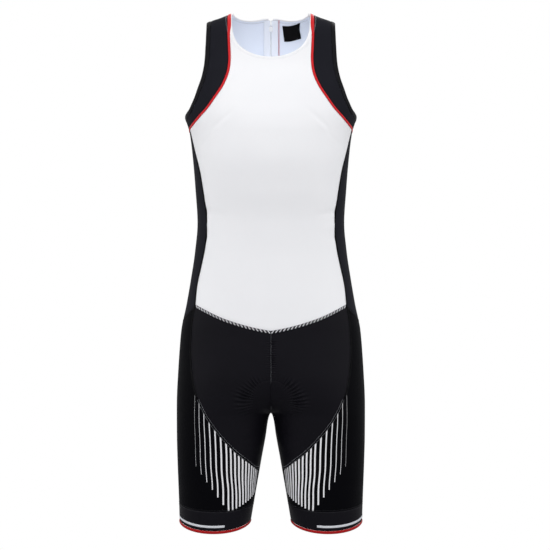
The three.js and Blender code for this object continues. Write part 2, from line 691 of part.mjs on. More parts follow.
// The pull tab: a cross piece under the bail, two arms and the part that is held
const eyeWidth = PULL_TAB.eyeHalf + PULL_TAB.armWidth;
const tabHalf = PULL_TAB.thick / 2;
const tabShape = new THREE.Shape()
  .moveTo(-eyeWidth, tabHalf)
  .lineTo(-eyeWidth, -PULL_TAB.taperFrom)
  .lineTo(-PULL_TAB.endHalf, -PULL_TAB.taperTo)
  .lineTo(-PULL_TAB.endHalf, -PULL_TAB.length + PULL_TAB.corner)
  .lineTo(PULL_TAB.corner - PULL_TAB.endHalf, -PULL_TAB.length)
  .lineTo(PULL_TAB.endHalf - PULL_TAB.corner, -PULL_TAB.length)
  .lineTo(PULL_TAB.endHalf, -PULL_TAB.length + PULL_TAB.corner)
  .lineTo(PULL_TAB.endHalf, -PULL_TAB.taperTo)
  .lineTo(eyeWidth, -PULL_TAB.taperFrom)
  .lineTo(eyeWidth, tabHalf);
const eye = new THREE.Path()
  .moveTo(-PULL_TAB.eyeHalf, -tabHalf)
  .lineTo(PULL_TAB.eyeHalf, -tabHalf)
  .lineTo(PULL_TAB.eyeHalf, -PULL_TAB.eyeTo)
  .lineTo(-PULL_TAB.eyeHalf, -PULL_TAB.eyeTo);
tabShape.holes.push(eye);
const tab = new THREE.ExtrudeGeometry(tabShape, { depth: PULL_TAB.thick, bevelEnabled: false })
  .translate(0, 0, -tabHalf)
  .rotateX(THREE.MathUtils.degToRad(PULL_TAB.tilt))
  .translate(0, 0, PULL_TAB.height);
add("zip_pull_tab", tab.applyMatrix4(sliderFrame), GREY);

// The label inside the back, on the wearer's left of the zip
function onGrid(grid, row, column) {
  const i = Math.min(Math.floor(row), grid.length - 2);
  const j = Math.min(Math.floor(column), grid[0].length - 2);
  const along = (line) => line[j].clone().lerp(line[j + 1], column - j);
  return along(grid[i]).lerp(along(grid[i + 1]), row - i);
}
const topDown = [...backHalf].reverse();
const labelGrid = LABEL.rows.map((row) =>
  LABEL.columns.map((column) => onGrid(topDown, row, column + LABEL.lean * (row - LABEL.rows[0]))),
);
add("neck_label", wall(labelGrid, LABEL.depth), BLACK);

// The padded seat, under the inner columns of the shorts: thick in the middle and thin at its edge
function padCells(grid, { firstRow, columns }) {
  const most = Math.ceil(Math.max(...columns));
  return columns.map((width, i) =>
    Array.from({ length: most + 1 }, (_, j) => {
      const column = Math.min(j, width);
      const ends = Math.min(i, columns.length - 1 - i);
      const fromEdge = Math.min((width - column) / PAD.softEdge, ends / 2, 1);
      return { p: onGrid(grid, firstRow + i, column), thick: PAD.edge + (PAD.middle - PAD.edge) * fromEdge };
    }),
  );
}

// One closed body from cells that share edges: the outer skin, the inner skin and a rim round both
function padBody(patches) {
  const known = new Map();
  const skins = { outer: [], inner: [] };
  const place = ({ p, thick }) => {
    const key = p.toArray().map((v) => Math.round(v * 50)).join();
    if (!known.has(key)) {
      known.set(key, known.size);
      skins.outer.push(p.clone().addScaledVector(outward(p), PAD.outer));
      skins.inner.push(p.clone().addScaledVector(outward(p), PAD.outer - thick));
    }
    return known.get(key);
  };
  const triangles = [];
  for (const cells of patches)
    for (let i = 0; i < cells.length - 1; i += 1)
      for (let j = 0; j < cells[i].length - 1; j += 1) {
        const corners = [cells[i][j], cells[i][j + 1], cells[i + 1][j + 1], cells[i + 1][j]];
        const falls = corners[0].p.distanceTo(corners[2].p);
        if (corners[1].p.distanceTo(corners[3].p) < falls) corners.push(corners.shift());
        const [a, b, c, d] = corners.map(place);
        for (const t of [[a, b, c], [a, c, d]]) if (new Set(t).size === 3) triangles.push(t);
      }
  const facing = triangles.map(([a, b, c]) => {
    const [p, q, r] = [skins.outer[a], skins.outer[b], skins.outer[c]];
    const normal = q.clone().sub(p).cross(r.clone().sub(p));
    return normal.dot(outward(p)) > 0 ? [a, b, c] : [a, c, b];
  });
  const edges = new Set(facing.flatMap(([a, b, c]) => [`${a} ${b}`, `${b} ${c}`, `${c} ${a}`]));
  const inner = (i) => i + known.size;
  const faces = facing.flatMap(([a, b, c]) => [a, b, c, inner(a), inner(c), inner(b)]);
  for (const edge of edges) {
    const [a, b] = edge.split(" ").map(Number);
    if (!edges.has(`${b} ${a}`)) faces.push(b, a, inner(a), b, inner(a), inner(b));
  }
  const positions = [...skins.outer, ...skins.inner].flatMap((p) => p.toArray());
  return new THREE.BufferGeometry()
    .setAttribute("position", new THREE.Float32BufferAttribute(positions, 3))
    .setIndex(faces);
}
const padSides = [padCells(shortsFront, PAD_SHAPE.front), padCells(shortsBack, PAD_SHAPE.back)];
const flipped = (cells) =>
  cells.map((row) => row.map(({ p, thick }) => ({ p: p.clone().setX(-p.x), thick })));
add("seat_pad", padBody([...padSides, ...padSides.map(flipped)]), GREY);

export default group;
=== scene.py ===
"""A sleeveless triathlon suit, filled out as worn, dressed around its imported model.

Every cloth piece is a thin shell on one smooth figure. The figure is a stack of rounded sections, and
the seams are curves on it. Lengths here are millimetres in the frame's own directions: +Z is up, the
front faces -Y, and the origin is midway between the shoulder straps.
"""

from __future__ import annotations

import logging
import math
from collections.abc import Callable, Sequence
from dataclasses import dataclass, field
from enum import Enum

import bmesh
import bpy
import numpy as np
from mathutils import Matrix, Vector


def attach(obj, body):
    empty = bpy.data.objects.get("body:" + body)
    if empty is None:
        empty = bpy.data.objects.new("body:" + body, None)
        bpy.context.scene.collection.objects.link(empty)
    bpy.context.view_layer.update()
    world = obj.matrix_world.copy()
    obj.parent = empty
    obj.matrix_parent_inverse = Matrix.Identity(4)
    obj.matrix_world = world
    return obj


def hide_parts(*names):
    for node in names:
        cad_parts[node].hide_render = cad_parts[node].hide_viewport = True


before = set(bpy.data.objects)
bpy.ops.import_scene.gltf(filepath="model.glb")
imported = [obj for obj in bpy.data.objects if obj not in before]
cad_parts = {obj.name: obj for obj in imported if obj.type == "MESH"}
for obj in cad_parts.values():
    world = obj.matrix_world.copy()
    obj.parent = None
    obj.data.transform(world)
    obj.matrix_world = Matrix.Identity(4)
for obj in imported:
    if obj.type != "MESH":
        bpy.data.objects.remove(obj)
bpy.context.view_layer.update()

LOG = logging.getLogger("suit")
MM = 0.001
SUIT = "suit"
PULL_TAB_BODY = "pull_tab"
SHELL = "cloth thickness"
Array = np.ndarray
Pair = tuple[float, float]
Triple = tuple[float, float, float]


class Side(Enum):
    """The front or the back of the suit."""

    FRONT = "front"
    BACK = "back"


class Profile:
    """A smooth line through a table's rows that never overshoots them."""

    def __init__(self, rows: Sequence[Pair]) -> None:
        """Works out the slope at every row.

        Args:
            rows: pairs of a place and the value there.
        """
        ordered = sorted(rows)
        self.keys = np.array([key for key, _ in ordered], dtype=float)
        self.values = np.array([value for _, value in ordered], dtype=float)
        steep = np.diff(self.values) / np.diff(self.keys)
        before, after = steep[:-1], steep[1:]
        same_way = before * after > 0
        total = np.where(same_way, before + after, 1.0)
        inner = np.where(same_way, 2 * before * after / total, 0.0)
        self.slopes = np.concatenate([steep[:1], inner, steep[-1:]])

    def __call__(self, at: Array) -> Array:
        """Reads the line.

        Args:
            at: the places, in the table's own unit.

        Returns:
            The values there.
        """
        at = np.asarray(at, dtype=float)
        held = np.clip(at, self.keys[0], self.keys[-1])
        i = np.clip(np.searchsorted(self.keys, held) - 1, 0, len(self.keys) - 2)
        span = self.keys[i + 1] - self.keys[i]
        t = (held - self.keys[i]) / span
        rise = self.values[i + 1] - self.values[i]
        bend = self.slopes[i] * (1 - t) - self.slopes[i + 1] * t
        inside = self.values[i] + rise * t * t * (3 - 2 * t) + span * t * (1 - t) * bend
        outer_slope = np.where(at < self.keys[0], self.slopes[0], self.slopes[-1])
        return inside + (at - held) * outer_slope


class Figure:
    """The general figure that the suit is filled out on."""

    ROUNDNESS = 2.3
    CROTCH_SOFTNESS = 4.0
    CROTCH = -720.0
    INSIDE_LEG = -90.0
    # height, half width, leg centre from the middle, how far the front and the back stand out
    SECTIONS = (
        (26, 58, 0, 35, 38),
        (0, 70, 0, 40, 44),
        (-9, 88.5, 0, 43, 48),
        (-18.4, 114.8, 0, 48, 55),
        (-36, 143, 0, 57, 67),
        (-60, 156, 0, 64, 80),
        (-90, 163, 0, 73, 92),
        (-130, 165.5, 0, 91, 102),
        (-165, 161.5, 0, 105, 106),
        (-190.8, 154, 0, 114, 107),
        (-217, 146, 0, 119, 106),
        (-260, 140.5, 0, 121, 102),
        (-320, 135.5, 0, 114, 92),
        (-378, 132, 0, 105, 85),
        (-430, 136.5, 0, 103, 88),
        (-480, 144, 0, 105, 98),
        (-526, 152, 0, 108, 109),
        (-570, 161, 0, 110, 118),
        (-610, 164.5, 12, 111, 122),
        (-650, 167, 38, 110, 121),
        (-685, 168.8, 62, 105, 115),
        (-705, 169.2, 76, 100, 108),
        (-720, 169.2, 86.6, 96, 102),
        (-760, 169, 89.5, 90, 94),
        (-800, 168, 92.5, 85, 88),
        (-870, 165.4, 97.2, 79, 80),
        (-940, 163.2, 102, 74, 75),
    )

    def __init__(self) -> None:
        """Makes a profile of each column of the sections."""
        columns = list(zip(*self.SECTIONS))
        heights = columns[0]
        self.wide, self.leg, self.front, self.back = (
            Profile(list(zip(heights, column))) for column in columns[1:]
        )

    def section(self, z: Array) -> tuple[Array, Array, Array, Array]:
        """The section at a height.

        Args:
            z: the heights.

        Returns:
            The leg centre, the half width round it, and the depths of the front and the back.
        """
        leg = self.leg(z)
        return leg, self.wide(z) - leg, self.front(z), self.back(z)

    def off(self, points: Array) -> Array:
        """How far points are off the figure, as a share of its radius.

        Args:
            points: an array of shape (..., 3).

        Returns:
            0 on the figure, less inside and more outside.
        """
        x, y, z = points[..., 0], points[..., 1], points[..., 2]
        leg, half, front, back = self.section(z)
        across = np.abs(np.hypot(x, self.CROTCH_SOFTNESS) - leg) / half
        deep = np.abs(y) / np.where(y < 0, front, back)
        return (across**self.ROUNDNESS + deep**self.ROUNDNESS) ** (1 / self.ROUNDNESS) - 1

    def gradient(self, points: Array) -> Array:
        """The gradient of `off` at points.

        Args:
            points: an array of shape (..., 3).

        Returns:
            An array of the same shape.
        """
        step = 0.4
        parts = []
        for axis in range(3):
            move = np.zeros(3)
            move[axis] = step
            parts.append((self.off(points + move) - self.off(points - move)) / (2 * step))
        return np.stack(parts, axis=-1)

    def outward(self, points: Array) -> Array:
        """The figure's outward direction at points.

        Args:
            points: an array of shape (..., 3).

        Returns:
            Unit vectors of the same shape.
        """
        slope = self.gradient(points)
        return slope / np.linalg.norm(slope, axis=-1, keepdims=True)

    def settle(self, points: Array) -> Array:
        """Moves points near the figure onto it.

        Args:
            points: an array of shape (..., 3).

        Returns:
            The moved points.
        """
        rounds = 8
        moved = np.array(points, dtype=float)
        for _ in range(rounds):
            slope = self.gradient(moved)
            share = self.off(moved) / (slope**2).sum(axis=-1)
            moved = moved - slope * share[..., None]
        return moved

    def around(self, degrees: Array, z: Array) -> Array:
        """Points at an angle about the leg's centre: 0 is the front, 90 the outer side, 180 the back.

        Args:
            degrees: the angles.
            z: the heights.

        Returns:
            An array of points.
        """
        degrees, z = np.broadcast_arrays(np.asarray(degrees, float), np.asarray(z, float))
        leg, half, front, back = self.section(z)
        turn = np.radians(degrees)
        across = np.abs(np.sin(turn)) / half
        deep = np.abs(np.cos(turn)) / np.where(np.cos(turn) > 0, front, back)
        reach = (across**self.ROUNDNESS + deep**self.ROUNDNESS) ** (-1 / self.ROUNDNESS)
        from_middle = leg + reach * np.sin(turn)
        x = np.sqrt(np.maximum(0, from_middle**2 - self.CROTCH_SOFTNESS**2))
        return np.stack([x, -reach * np.cos(turn), z], axis=-1)

    def angle_at(self, x: Array, z: Array, side: Side) -> Array:
        """The angle of the point that shows at a distance from the middle, from the front or the back.

        Args:
            x: distances from the middle.
            z: the heights.
            side: which side it shows on.

        Returns:
            The angles in degrees.
        """
        leg, half, front, back = self.section(z)
        across = np.hypot(x, self.CROTCH_SOFTNESS) - leg
        share = np.minimum(1, np.abs(across) / half)
        depth = (1 - share**self.ROUNDNESS) ** (1 / self.ROUNDNESS)
        deep = depth * (front if side is Side.FRONT else back)
        degrees = np.degrees(np.arctan2(across, deep))
        return degrees if side is Side.FRONT else 180 - degrees

    def shown(self, x: Array, z: Array, side: Side) -> Array:
        """The point that shows at a distance from the middle and a height."""
        return self.around(self.angle_at(x, z, side), z)

    def angle_of(self, point: Array) -> Array:
        """The angle of points about the leg's centre.

        Args:
            point: the points.

        Returns:
            Their angles in degrees.
        """
        leg = self.leg(point[..., 2])
        across = np.hypot(point[..., 0], self.CROTCH_SOFTNESS) - leg
        return np.degrees(np.arctan2(across, -point[..., 1]))

    def ridge(self, x: float) -> Array:
        """The top of the shoulder at a distance from the middle.

        Args:
            x: the distance.

        Returns:
            The point.
        """
        low, high = -60.0, 26.0
        halvings = 40
        for _ in range(halvings):
            z = (low + high) / 2
            if float(self.wide(z)) > x:
                low = z
            else:
                high = z
        return np.array([x, 0.0, low])


FIGURE = Figure()


def spline(points: Sequence[Array], steps: int) -> Array:
    """Evenly spaced points on the figure along a smooth curve through a few of its points.

    Args:
        points: the points that the curve passes.
        steps: how many steps to make.

    Returns:
        An array of steps + 1 points.
    """
    line = np.array(points, dtype=float)
    lengths = np.linalg.norm(np.diff(line, axis=0), axis=1)
    at = np.concatenate([[0], np.cumsum(lengths)])
    even = np.linspace(0, at[-1], steps + 1)
    columns = [Profile(list(zip(at, line[:, axis])))(even) for axis in range(3)]
    return FIGURE.settle(np.stack(columns, axis=-1))


def beside(line: Array, distance: float) -> Array:
    """A curve beside another on the figure, to the left of its direction seen from outside.

    Args:
        line: the curve's points.
        distance: how far to the left.

    Returns:
        As many points.
    """
    ahead = np.concatenate([line[1:], line[-1:]])
    behind = np.concatenate([line[:1], line[:-1]])
    left = np.cross(FIGURE.outward(line), ahead - behind)
    left /= np.linalg.norm(left, axis=-1, keepdims=True)
    return FIGURE.settle(line + left * distance)


def mirrored(points: Array) -> Array:
    """The same points on the other side of the suit."""
    return points * np.array([-1.0, 1.0, 1.0])


HANDS = (("left", np.asarray), ("right", mirrored))


def finer(line: Array, counts: Sequence[int], corners: Sequence[int] = ()) -> Array:
    """More points along the first axis, on Catmull-Rom curves through the given ones.

    Args:
        line: points, or rows of points.
        counts: how many steps each stretch between two rows is cut into.
        corners: rows where the curve may turn, so that it matches a neighbour that ends there.

    Returns:
        The longer array, without its place on the figure settled.
    """
    last = len(line) - 1
    parts = [line[:1]]
    for i, count in enumerate(counts):
        start, end = line[i], line[i + 1]
        before = 2 * start - end if i == 0 or i in corners else line[i - 1]
        after = 2 * end - start if i + 1 == last or i + 1 in corners else line[i + 2]
        t = (np.arange(1, count + 1) / count).reshape(-1, *[1] * (line.ndim - 1))
        m0, m1 = (end - before) / 2, (after - start) / 2
        smooth = t * t * (3 - 2 * t)
        bend = m0 * t * (1 - t) ** 2 - m1 * t * t * (1 - t)
        parts.append(start + (end - start) * smooth + bend)
    return np.concatenate(parts)


@dataclass(frozen=True)
class Cutting:
    """The suit's seams, as they show from the front, and the rows that its pieces are laid out in."""

    shoulder_neck: float = 73.0
    shoulder_arm: float = 114.8
    piping_width: float = 5.2
    arm_binding_width: float = 8.0
    neck_binding_width: float = 3.6
    piping_top: tuple = ((73, -9), (73, -20), (72.8, -43))
    piping_lower: tuple = ((71, -94), (75, -118), (89, -147), (109.6, -176), (135.5, -203.5))
    piping_underarm: float = -217.0
    armhole: tuple = (
        (115, -24), (115.2, -36), (116, -57), (117.4, -87),
        (120.2, -109), (126, -131), (136.6, -160), (145.5, -177.5),
    )
    armhole_underarm: float = -190.8
    neck_front: tuple = (
        (0, -89), (9, -88.3), (31, -83.5), (47, -76), (61, -66), (69, -55.5), (72.8, -43),
    )
    neck_back: tuple = ((0, -7.2), (9, -7.2), (24, -9.4), (40, -10.4), (57, -8), (73, -2))
    waist_seam: tuple = ((0, -572), (24, -567.5), (50, -561), (88, -548.5), (112, -537.5), (134, -526))
    # height and distance from the middle
    side_seam: tuple = (
        (-217, 145.3), (-238, 139), (-260, 132), (-315, 120.9), (-368, 113.6),
        (-389, 112.8), (-411, 114.6), (-445, 120.7), (-493, 131), (-526, 134),
    )
    leg_seam: tuple = (
        (-526, 134), (-545, 137.5), (-572, 140.2), (-603, 141.7), (-628, 140.2), (-671, 134.2),
        (-695, 125.6), (-729, 108), (-752, 90.3), (-772, 72.3), (-787, 57), (-803, 37.5), (-815, 25),
    )
    # height and how far the back seam is turned from the side
    back_leg_seam: tuple = ((-526, 24.2), (-610, 25), (-720, 30), (-890, 34))
    hip: float = -526.0
    hip_dip: float = 25.0
    hip_fades_at: float = -640.0
    waist_fades_at: float = -700.0
    leg_seam_end: float = -817.0
    band_seam: float = -889.0
    band_lift: float = 9.0
    # front and side heights of the hem band's rows
    band_rows: tuple = ((-889, -880), (-914.2, -901), (-918.2, -905), (-923.8, -910), (-929, -915))
    hem_line_columns: tuple = (4, 12)
    trunk_rows: tuple = (-526, -491, -456, -421, -386, -351, -316, -281, -246)
    inner_rows: tuple = (
        -526, -550, -575, -602, -630, -660, -686, -704, -715, -720,
        -723, -732, -750, -772, -795, -817, -841, -865, -889,
    )
    seam_rows: int = 15
    bend_from_front: float = -330.0
    bend_from_back: float = -200.0
    hip_bend_from: float = -386.0
    top_steps: int = 3
    arm_steps: int = 10
    body_columns: int = 8
    side_columns: int = 12
    yoke_columns: int = 3
    zip_gap: float = 4.2
    zip_end: float = -456.0
    zip_closed: float = -491.0


CUT = Cutting()


@dataclass
class ArmLines:
    """Four curves round an armhole, from the top of the shoulder to under the arm."""

    piping: Array
    piping_outer: Array
    binding: Array
    edge: Array


def arm_lines(side: Side, piping: Array, edge: Array, overlap: float = 0.0) -> ArmLines:
    """The curves round an armhole, from its piping seam and its edge.

    Args:
        side: the front or the back.
        piping: the seam between the body and the piping.
        edge: the armhole's edge.
        overlap: how much of the piping's width the yoke covers.

    Returns:
        The curves, with their ends on the shoulder's top and on the side.
    """
    to_arm = 1 if side is Side.FRONT else -1
    outer = beside(piping, to_arm * (CUT.piping_width - overlap))
    binding = beside(edge, -to_arm * CUT.arm_binding_width)
    for line in (outer, binding):
        line[0] = FIGURE.ridge(line[0, 0])
        line[-1] = FIGURE.around(90, line[-1, 2])
    return ArmLines(piping, outer, binding, edge)


class Pattern:
    """The cloth pieces as rows of points on the figure, for the wearer's left."""

    def __init__(self) -> None:
        """Lays out every piece from the seams."""
        self.arm = {side: self._arm_lines(side) for side in Side}
        self.front_half = self._trunk_half(Side.FRONT)
        self.back_half = self._trunk_half(Side.BACK)
        self.side_panel = self._side_panel()
        seam = [FIGURE.shown(x, z, Side.FRONT) for z, x in CUT.leg_seam]
        inside_end = FIGURE.around(Figure.INSIDE_LEG, CUT.leg_seam_end)
        self.leg_seam = spline([*seam, inside_end], CUT.seam_rows)
        rows = len(CUT.inner_rows)
        self.shorts_front = self._shorts_rows(
            self.front_half[0], CUT.seam_rows + 1, self._inner_edge(Side.FRONT), self._front_edge,
            CUT.waist_fades_at,
        )
        self.shorts_back = self._shorts_rows(
            self.back_half[0], rows, self._inner_edge(Side.BACK), self._back_edge, CUT.waist_fades_at
        )
        self.leg_panel = self._shorts_rows(
            self.side_panel[0], rows, self._front_edge, self._back_edge, CUT.hip_fades_at
        )
        self.band = self._band()

    @staticmethod
    def _arm_lines(side: Side) -> ArmLines:
        """The curves round the left armhole on one side.

        Args:
            side: the front or the back.

        Returns:
            The four curves.
        """
        top = FIGURE.ridge(CUT.shoulder_neck)
        upper = [top, *(FIGURE.shown(x, z, side) for x, z in CUT.piping_top)]
        lower = [upper[-1], *(FIGURE.shown(x, z, side) for x, z in CUT.piping_lower)]
        lower.append(FIGURE.around(90, CUT.piping_underarm))
        inner = np.concatenate([spline(upper, CUT.top_steps), spline(lower, CUT.arm_steps)[1:]])
        opening = [FIGURE.ridge(CUT.shoulder_arm), *(FIGURE.shown(x, z, side) for x, z in CUT.armhole)]
        opening.append(FIGURE.around(90, CUT.armhole_underarm))
        return arm_lines(side, inner, spline(opening, CUT.top_steps + CUT.arm_steps))

    @staticmethod
    def _side_angle(z: float, side: Side) -> float:
        """The angle of the side seam at a height.

        Args:
            z: the height.
            side: the front or the back.

        Returns:
            The angle in degrees.
        """
        x = Profile(CUT.side_seam)(z)
        degrees = float(FIGURE.angle_at(x, z, Side.FRONT))
        return degrees if side is Side.FRONT else 180 - degrees

    @staticmethod
    def _zip_half(z: float) -> float:
        """Half of the gap between the back's edges at a height."""
        t = min(max((z - CUT.zip_closed) / (CUT.zip_end - CUT.zip_closed), 0), 1)
        return CUT.zip_gap * t * t * (3 - 2 * t)

    @staticmethod
    def _seam_height(seam: Profile, degrees: Array, start: float) -> Array:
        """The height of a seam at an angle, where the seam is given by distance from the middle.

        Args:
            seam: its height by distance.
            degrees: the angles.
            start: a height near it.

        Returns:
            The heights.
        """
        rounds = 12
        z = np.full_like(degrees, start)
        for _ in range(rounds):
            z = seam(FIGURE.around(degrees, z)[..., 0])
        return z

    def _trunk_half(self, side: Side) -> Array:
        """Half of the trunk's front or back, row by row upwards from the waist seam.

        Args:
            side: the front or the back.

        Returns:
            The rows of points.
        """
        first = CUT.top_steps if side is Side.FRONT else 0
        piping = self.arm[side].piping[-2 : first - 1 if first else None : -1]
        rows = [(z, self._side_angle(z, side)) for z in CUT.trunk_rows]
        rows += [(float(p[2]), float(FIGURE.angle_of(p))) for p in piping]
        u = np.linspace(0, 1, CUT.body_columns + 1)
        neck = Profile(CUT.neck_front if side is Side.FRONT else CUT.neck_back)
        bend_from = CUT.bend_from_front if side is Side.FRONT else CUT.bend_from_back

        def middle(z: float, at: float) -> float:
            """The angle of the piece's inner edge."""
            half = self._zip_half(z) if side is Side.BACK else 0.0
            return float(FIGURE.angle_at(half, at, side))

        def angles(row: Pair) -> Array:
            """The angles of a row's points."""
            start = middle(row[0], row[0])
            return start + (row[1] - start) * u

        bottom, top = rows[0], rows[-1]
        dip = self._seam_height(Profile(CUT.waist_seam), angles(bottom), bottom[0]) - bottom[0]
        rise = self._seam_height(neck, angles(top), top[0]) - top[0]
        dip[-1] = rise[-1] = 0
        grid = []
        for z, angle in rows:
            low = min(max((z - bend_from) / (bottom[0] - bend_from), 0), 1)
            high = min(max((z - bend_from) / (top[0] - bend_from), 0), 1)
            bent = z + dip * low + rise * high
            degrees = angles((z, angle))
            degrees[0] = middle(z, bent[0])
            grid.append(FIGURE.around(degrees, bent))
        return np.array(grid)

    def _side_panel(self) -> Array:
        """The side panel, row by row upwards from the hip.

        Returns:
            The rows of points.
        """
        u = np.linspace(0, 1, CUT.side_columns + 1)
        bow = 1 - (2 * u - 1) ** 2
        grid = []
        for z in CUT.trunk_rows:
            start, end = self._side_angle(z, Side.FRONT), self._side_angle(z, Side.BACK)
            low = min(max((z - CUT.hip_bend_from) / (CUT.hip - CUT.hip_bend_from), 0), 1)
            grid.append(FIGURE.around(start + (end - start) * u, z - CUT.hip_dip * bow * low))
        front, back = (self.arm[side].piping[-2] for side in Side)
        start, end = float(FIGURE.angle_of(front)), float(FIGURE.angle_of(back))
        sag = (CUT.piping_underarm - front[2]) * bow
        grid.append(FIGURE.around(start + (end - start) * u, front[2] + sag))
        return np.array(grid)

    @staticmethod
    def _faded(z: Array, start: float, end: float) -> Array:
        """1 at the start height, 0 at the end height and past it."""
        return np.clip((z - end) / (start - end), 0, 1)

    def _shorts_rows(
        self, top: Array, count: int, left: Callable, right: Callable, fades_at: float
    ) -> Array:
        """A piece of the shorts between two edges, downwards.

        Args:
            top: the top row, shared with the piece above.
            count: how many rows.
            left: gives the left edge's height and angle function for a row.
            right: the same for the right edge.
            fades_at: where the rows no longer follow the top one's bend.

        Returns:
            The rows of points, downwards.
        """
        u = np.linspace(0, 1, len(top))
        rows = [top]
        for i in range(1, count):
            (z_left, angle_left), (z_right, angle_right) = left(i), right(i)
            level = z_left * (1 - u) + z_right * u
            dip = (top[:, 2] - CUT.hip) * self._faded(level, CUT.hip, fades_at)
            z = level + dip
            degrees = angle_left(z) * (1 - u) + angle_right(z) * u
            lift = CUT.band_lift * self._faded(level, CUT.band_seam, CUT.leg_seam_end)
            rows.append(FIGURE.around(degrees, z + lift * np.sin(np.radians(degrees)) ** 2))
        return np.array(rows)

    @staticmethod
    def _inner_edge(side: Side) -> Callable:
        """The middle line above the crotch, and the inside of the leg below it.

        Args:
            side: the front or the back.

        Returns:
            A function of the row's number, as `_shorts_rows` takes it.
        """
        inside = Figure.INSIDE_LEG if side is Side.FRONT else Figure.INSIDE_LEG + 360

        def angle(z: Array) -> Array:
            """The edge's angle at heights."""
            hair = 0.01
            above = np.maximum(z, Figure.CROTCH + hair)
            return np.where(z > Figure.CROTCH, FIGURE.angle_at(0.0, above, side), inside)

        return lambda i: (CUT.inner_rows[i], angle)

    def _front_edge(self, i: int) -> tuple[float, Callable]:
        """The seam between the shorts' front and the leg panel, then the inside of the leg.

        Args:
            i: the row's number.

        Returns:
            The row's height there, and a function that gives the angle.
        """
        if i > CUT.seam_rows:
            return CUT.inner_rows[i], lambda z: np.full_like(z, Figure.INSIDE_LEG)
        point = self.leg_seam[i]
        degrees = float(FIGURE.angle_of(point))
        return point[2], lambda z: np.full_like(z, degrees)

    @staticmethod
    def _back_edge(i: int) -> tuple[float, Callable]:
        """The seam between the shorts' back and the leg panel.

        Args:
            i: the row's number.

        Returns:
            The row's height there, and a function that gives the angle.
        """
        turn = Profile(CUT.back_leg_seam)
        drop = (CUT.leg_seam_end - CUT.hip) * i / CUT.seam_rows
        z = CUT.inner_rows[i] if i > CUT.seam_rows else CUT.hip + drop
        return z, lambda at: 90 + turn(at)

    def _band(self) -> Array:
        """The left hem band and its edging, downwards.

        Returns:
            The rows of points.
        """
        split = float(90 + Profile(CUT.back_leg_seam)(CUT.band_seam))
        front = np.linspace(Figure.INSIDE_LEG, split, CUT.side_columns + 1)
        back = np.linspace(split, Figure.INSIDE_LEG + 360, CUT.body_columns + 1)[1:]
        degrees = np.concatenate([front, back])
        side = np.sin(np.radians(degrees)) ** 2
        return np.array([FIGURE.around(degrees, low + (high - low) * side) for low, high in CUT.band_rows])


def height_on(seam: Sequence[Pair], x: Array) -> Array:
    """The height of a seam, given by distance and height, at a distance from the middle."""
    return Profile(seam)(x)


def span_lengths(points: Array, axis: int) -> Array:
    """How far each point is from the first one, measured over the cloth.

    Args:
        points: rows of points.
        axis: 0 to measure down the columns, 1 along the rows.

    Returns:
        An array of lengths, one for each point.
    """
    steps = np.linalg.norm(np.diff(points, axis=axis), axis=-1)
    lengths = np.zeros(points.shape[:2])
    if axis == 0:
        lengths[1:] = np.cumsum(steps, axis=0)
    else:
        lengths[:, 1:] = np.cumsum(steps, axis=1)
    return lengths


def near_path(points: Array, path: Array) -> tuple[Array, Array]:
    """Where points are beside a path.

    Args:
        points: an array of shape (..., 3).
        path: the path's points.

    Returns:
        The distance to the path, and how far along it the nearest place is, from 0 to 1.
    """
    best = np.full(points.shape[:-1], np.inf)
    along = np.zeros(points.shape[:-1])
    count = len(path) - 1
    for i in range(count):
        leg = path[i + 1] - path[i]
        t = np.clip(((points - path[i]) @ leg) / (leg @ leg), 0, 1)
        away = np.linalg.norm(points - (path[i] + t[..., None] * leg), axis=-1)
        closer = away < best
        best = np.where(closer, away, best)
        along = np.where(closer, (i + t) / count, along)
    return best, along


@dataclass(frozen=True)
class Fold:
    """A soft crease: a trough where the height is below 0 and a ridge where it is above."""

    start: Pair
    end: Pair
    width: float
    height: float
    bluntness: float = 0.7

    def relief(self, points: Array, mirror: bool) -> Array:
        """How far the crease moves each point outwards.

        Args:
            points: points of the cloth.
            mirror: whether the crease is the one on the wearer's right.

        Returns:
            An array of lengths.
        """
        steps = 10
        t = np.linspace(0, 1, steps + 1)
        degrees = self.start[0] + (self.end[0] - self.start[0]) * t
        z = self.start[1] + (self.end[1] - self.start[1]) * t
        path = FIGURE.around(degrees, z)
        away, along = near_path(points, mirrored(path) if mirror else path)
        return self.height * np.exp(-((away / self.width) ** 2)) * np.sin(np.pi * along) ** self.bluntness


# Angle and height of both ends, width and height. The angle is 0 in front and 90 at the side.
FOLDS = (
    Fold((52, -226), (30, -176), 5.0, -0.9),
    Fold((58, -236), (34, -196), 5.0, 0.6),
    Fold((64, -250), (44, -214), 4.5, -0.6),
    Fold((78, -352), (40, -368), 6.0, -1.0),
    Fold((82, -372), (46, -392), 6.0, 0.8),
    Fold((88, -392), (52, -410), 5.5, -0.9),
    Fold((84, -330), (58, -340), 5.0, 0.5),
    Fold((100, -366), (142, -352), 6.0, -1.1),
    Fold((98, -388), (150, -378), 6.5, 0.9),
    Fold((102, -410), (146, -402), 5.5, -0.8),
    Fold((128, -240), (158, -190), 6.0, -0.9),
    Fold((126, -262), (152, -222), 5.5, 0.6),
    Fold((150, -560), (128, -590), 7.0, -0.7),
    Fold((106, -548), (134, -574), 6.5, -0.7),
    Fold((102, -562), (136, -594), 6.0, 0.5),
    Fold((-70, -742), (-20, -768), 6.0, -0.7),
    Fold((-78, -762), (-30, -786), 6.0, 0.6),
    Fold((-66, -716), (-40, -700), 4.5, -0.6),
    Fold((205, -745), (248, -738), 6.5, -0.9),
    Fold((200, -768), (252, -764), 6.5, 0.6),
    Fold((30, -842), (75, -852), 7.0, -0.5),
    Fold((110, -836), (150, -846), 7.0, -0.5),
)


@dataclass(frozen=True)
class Wave:
    """A wave that runs round the pad's outline."""

    count: int
    size: float
    start: float = 0.0

    def at(self, turn: Array) -> Array:
        """The wave at angles round the pad."""
        return self.size * np.sin(self.count * turn + self.start)


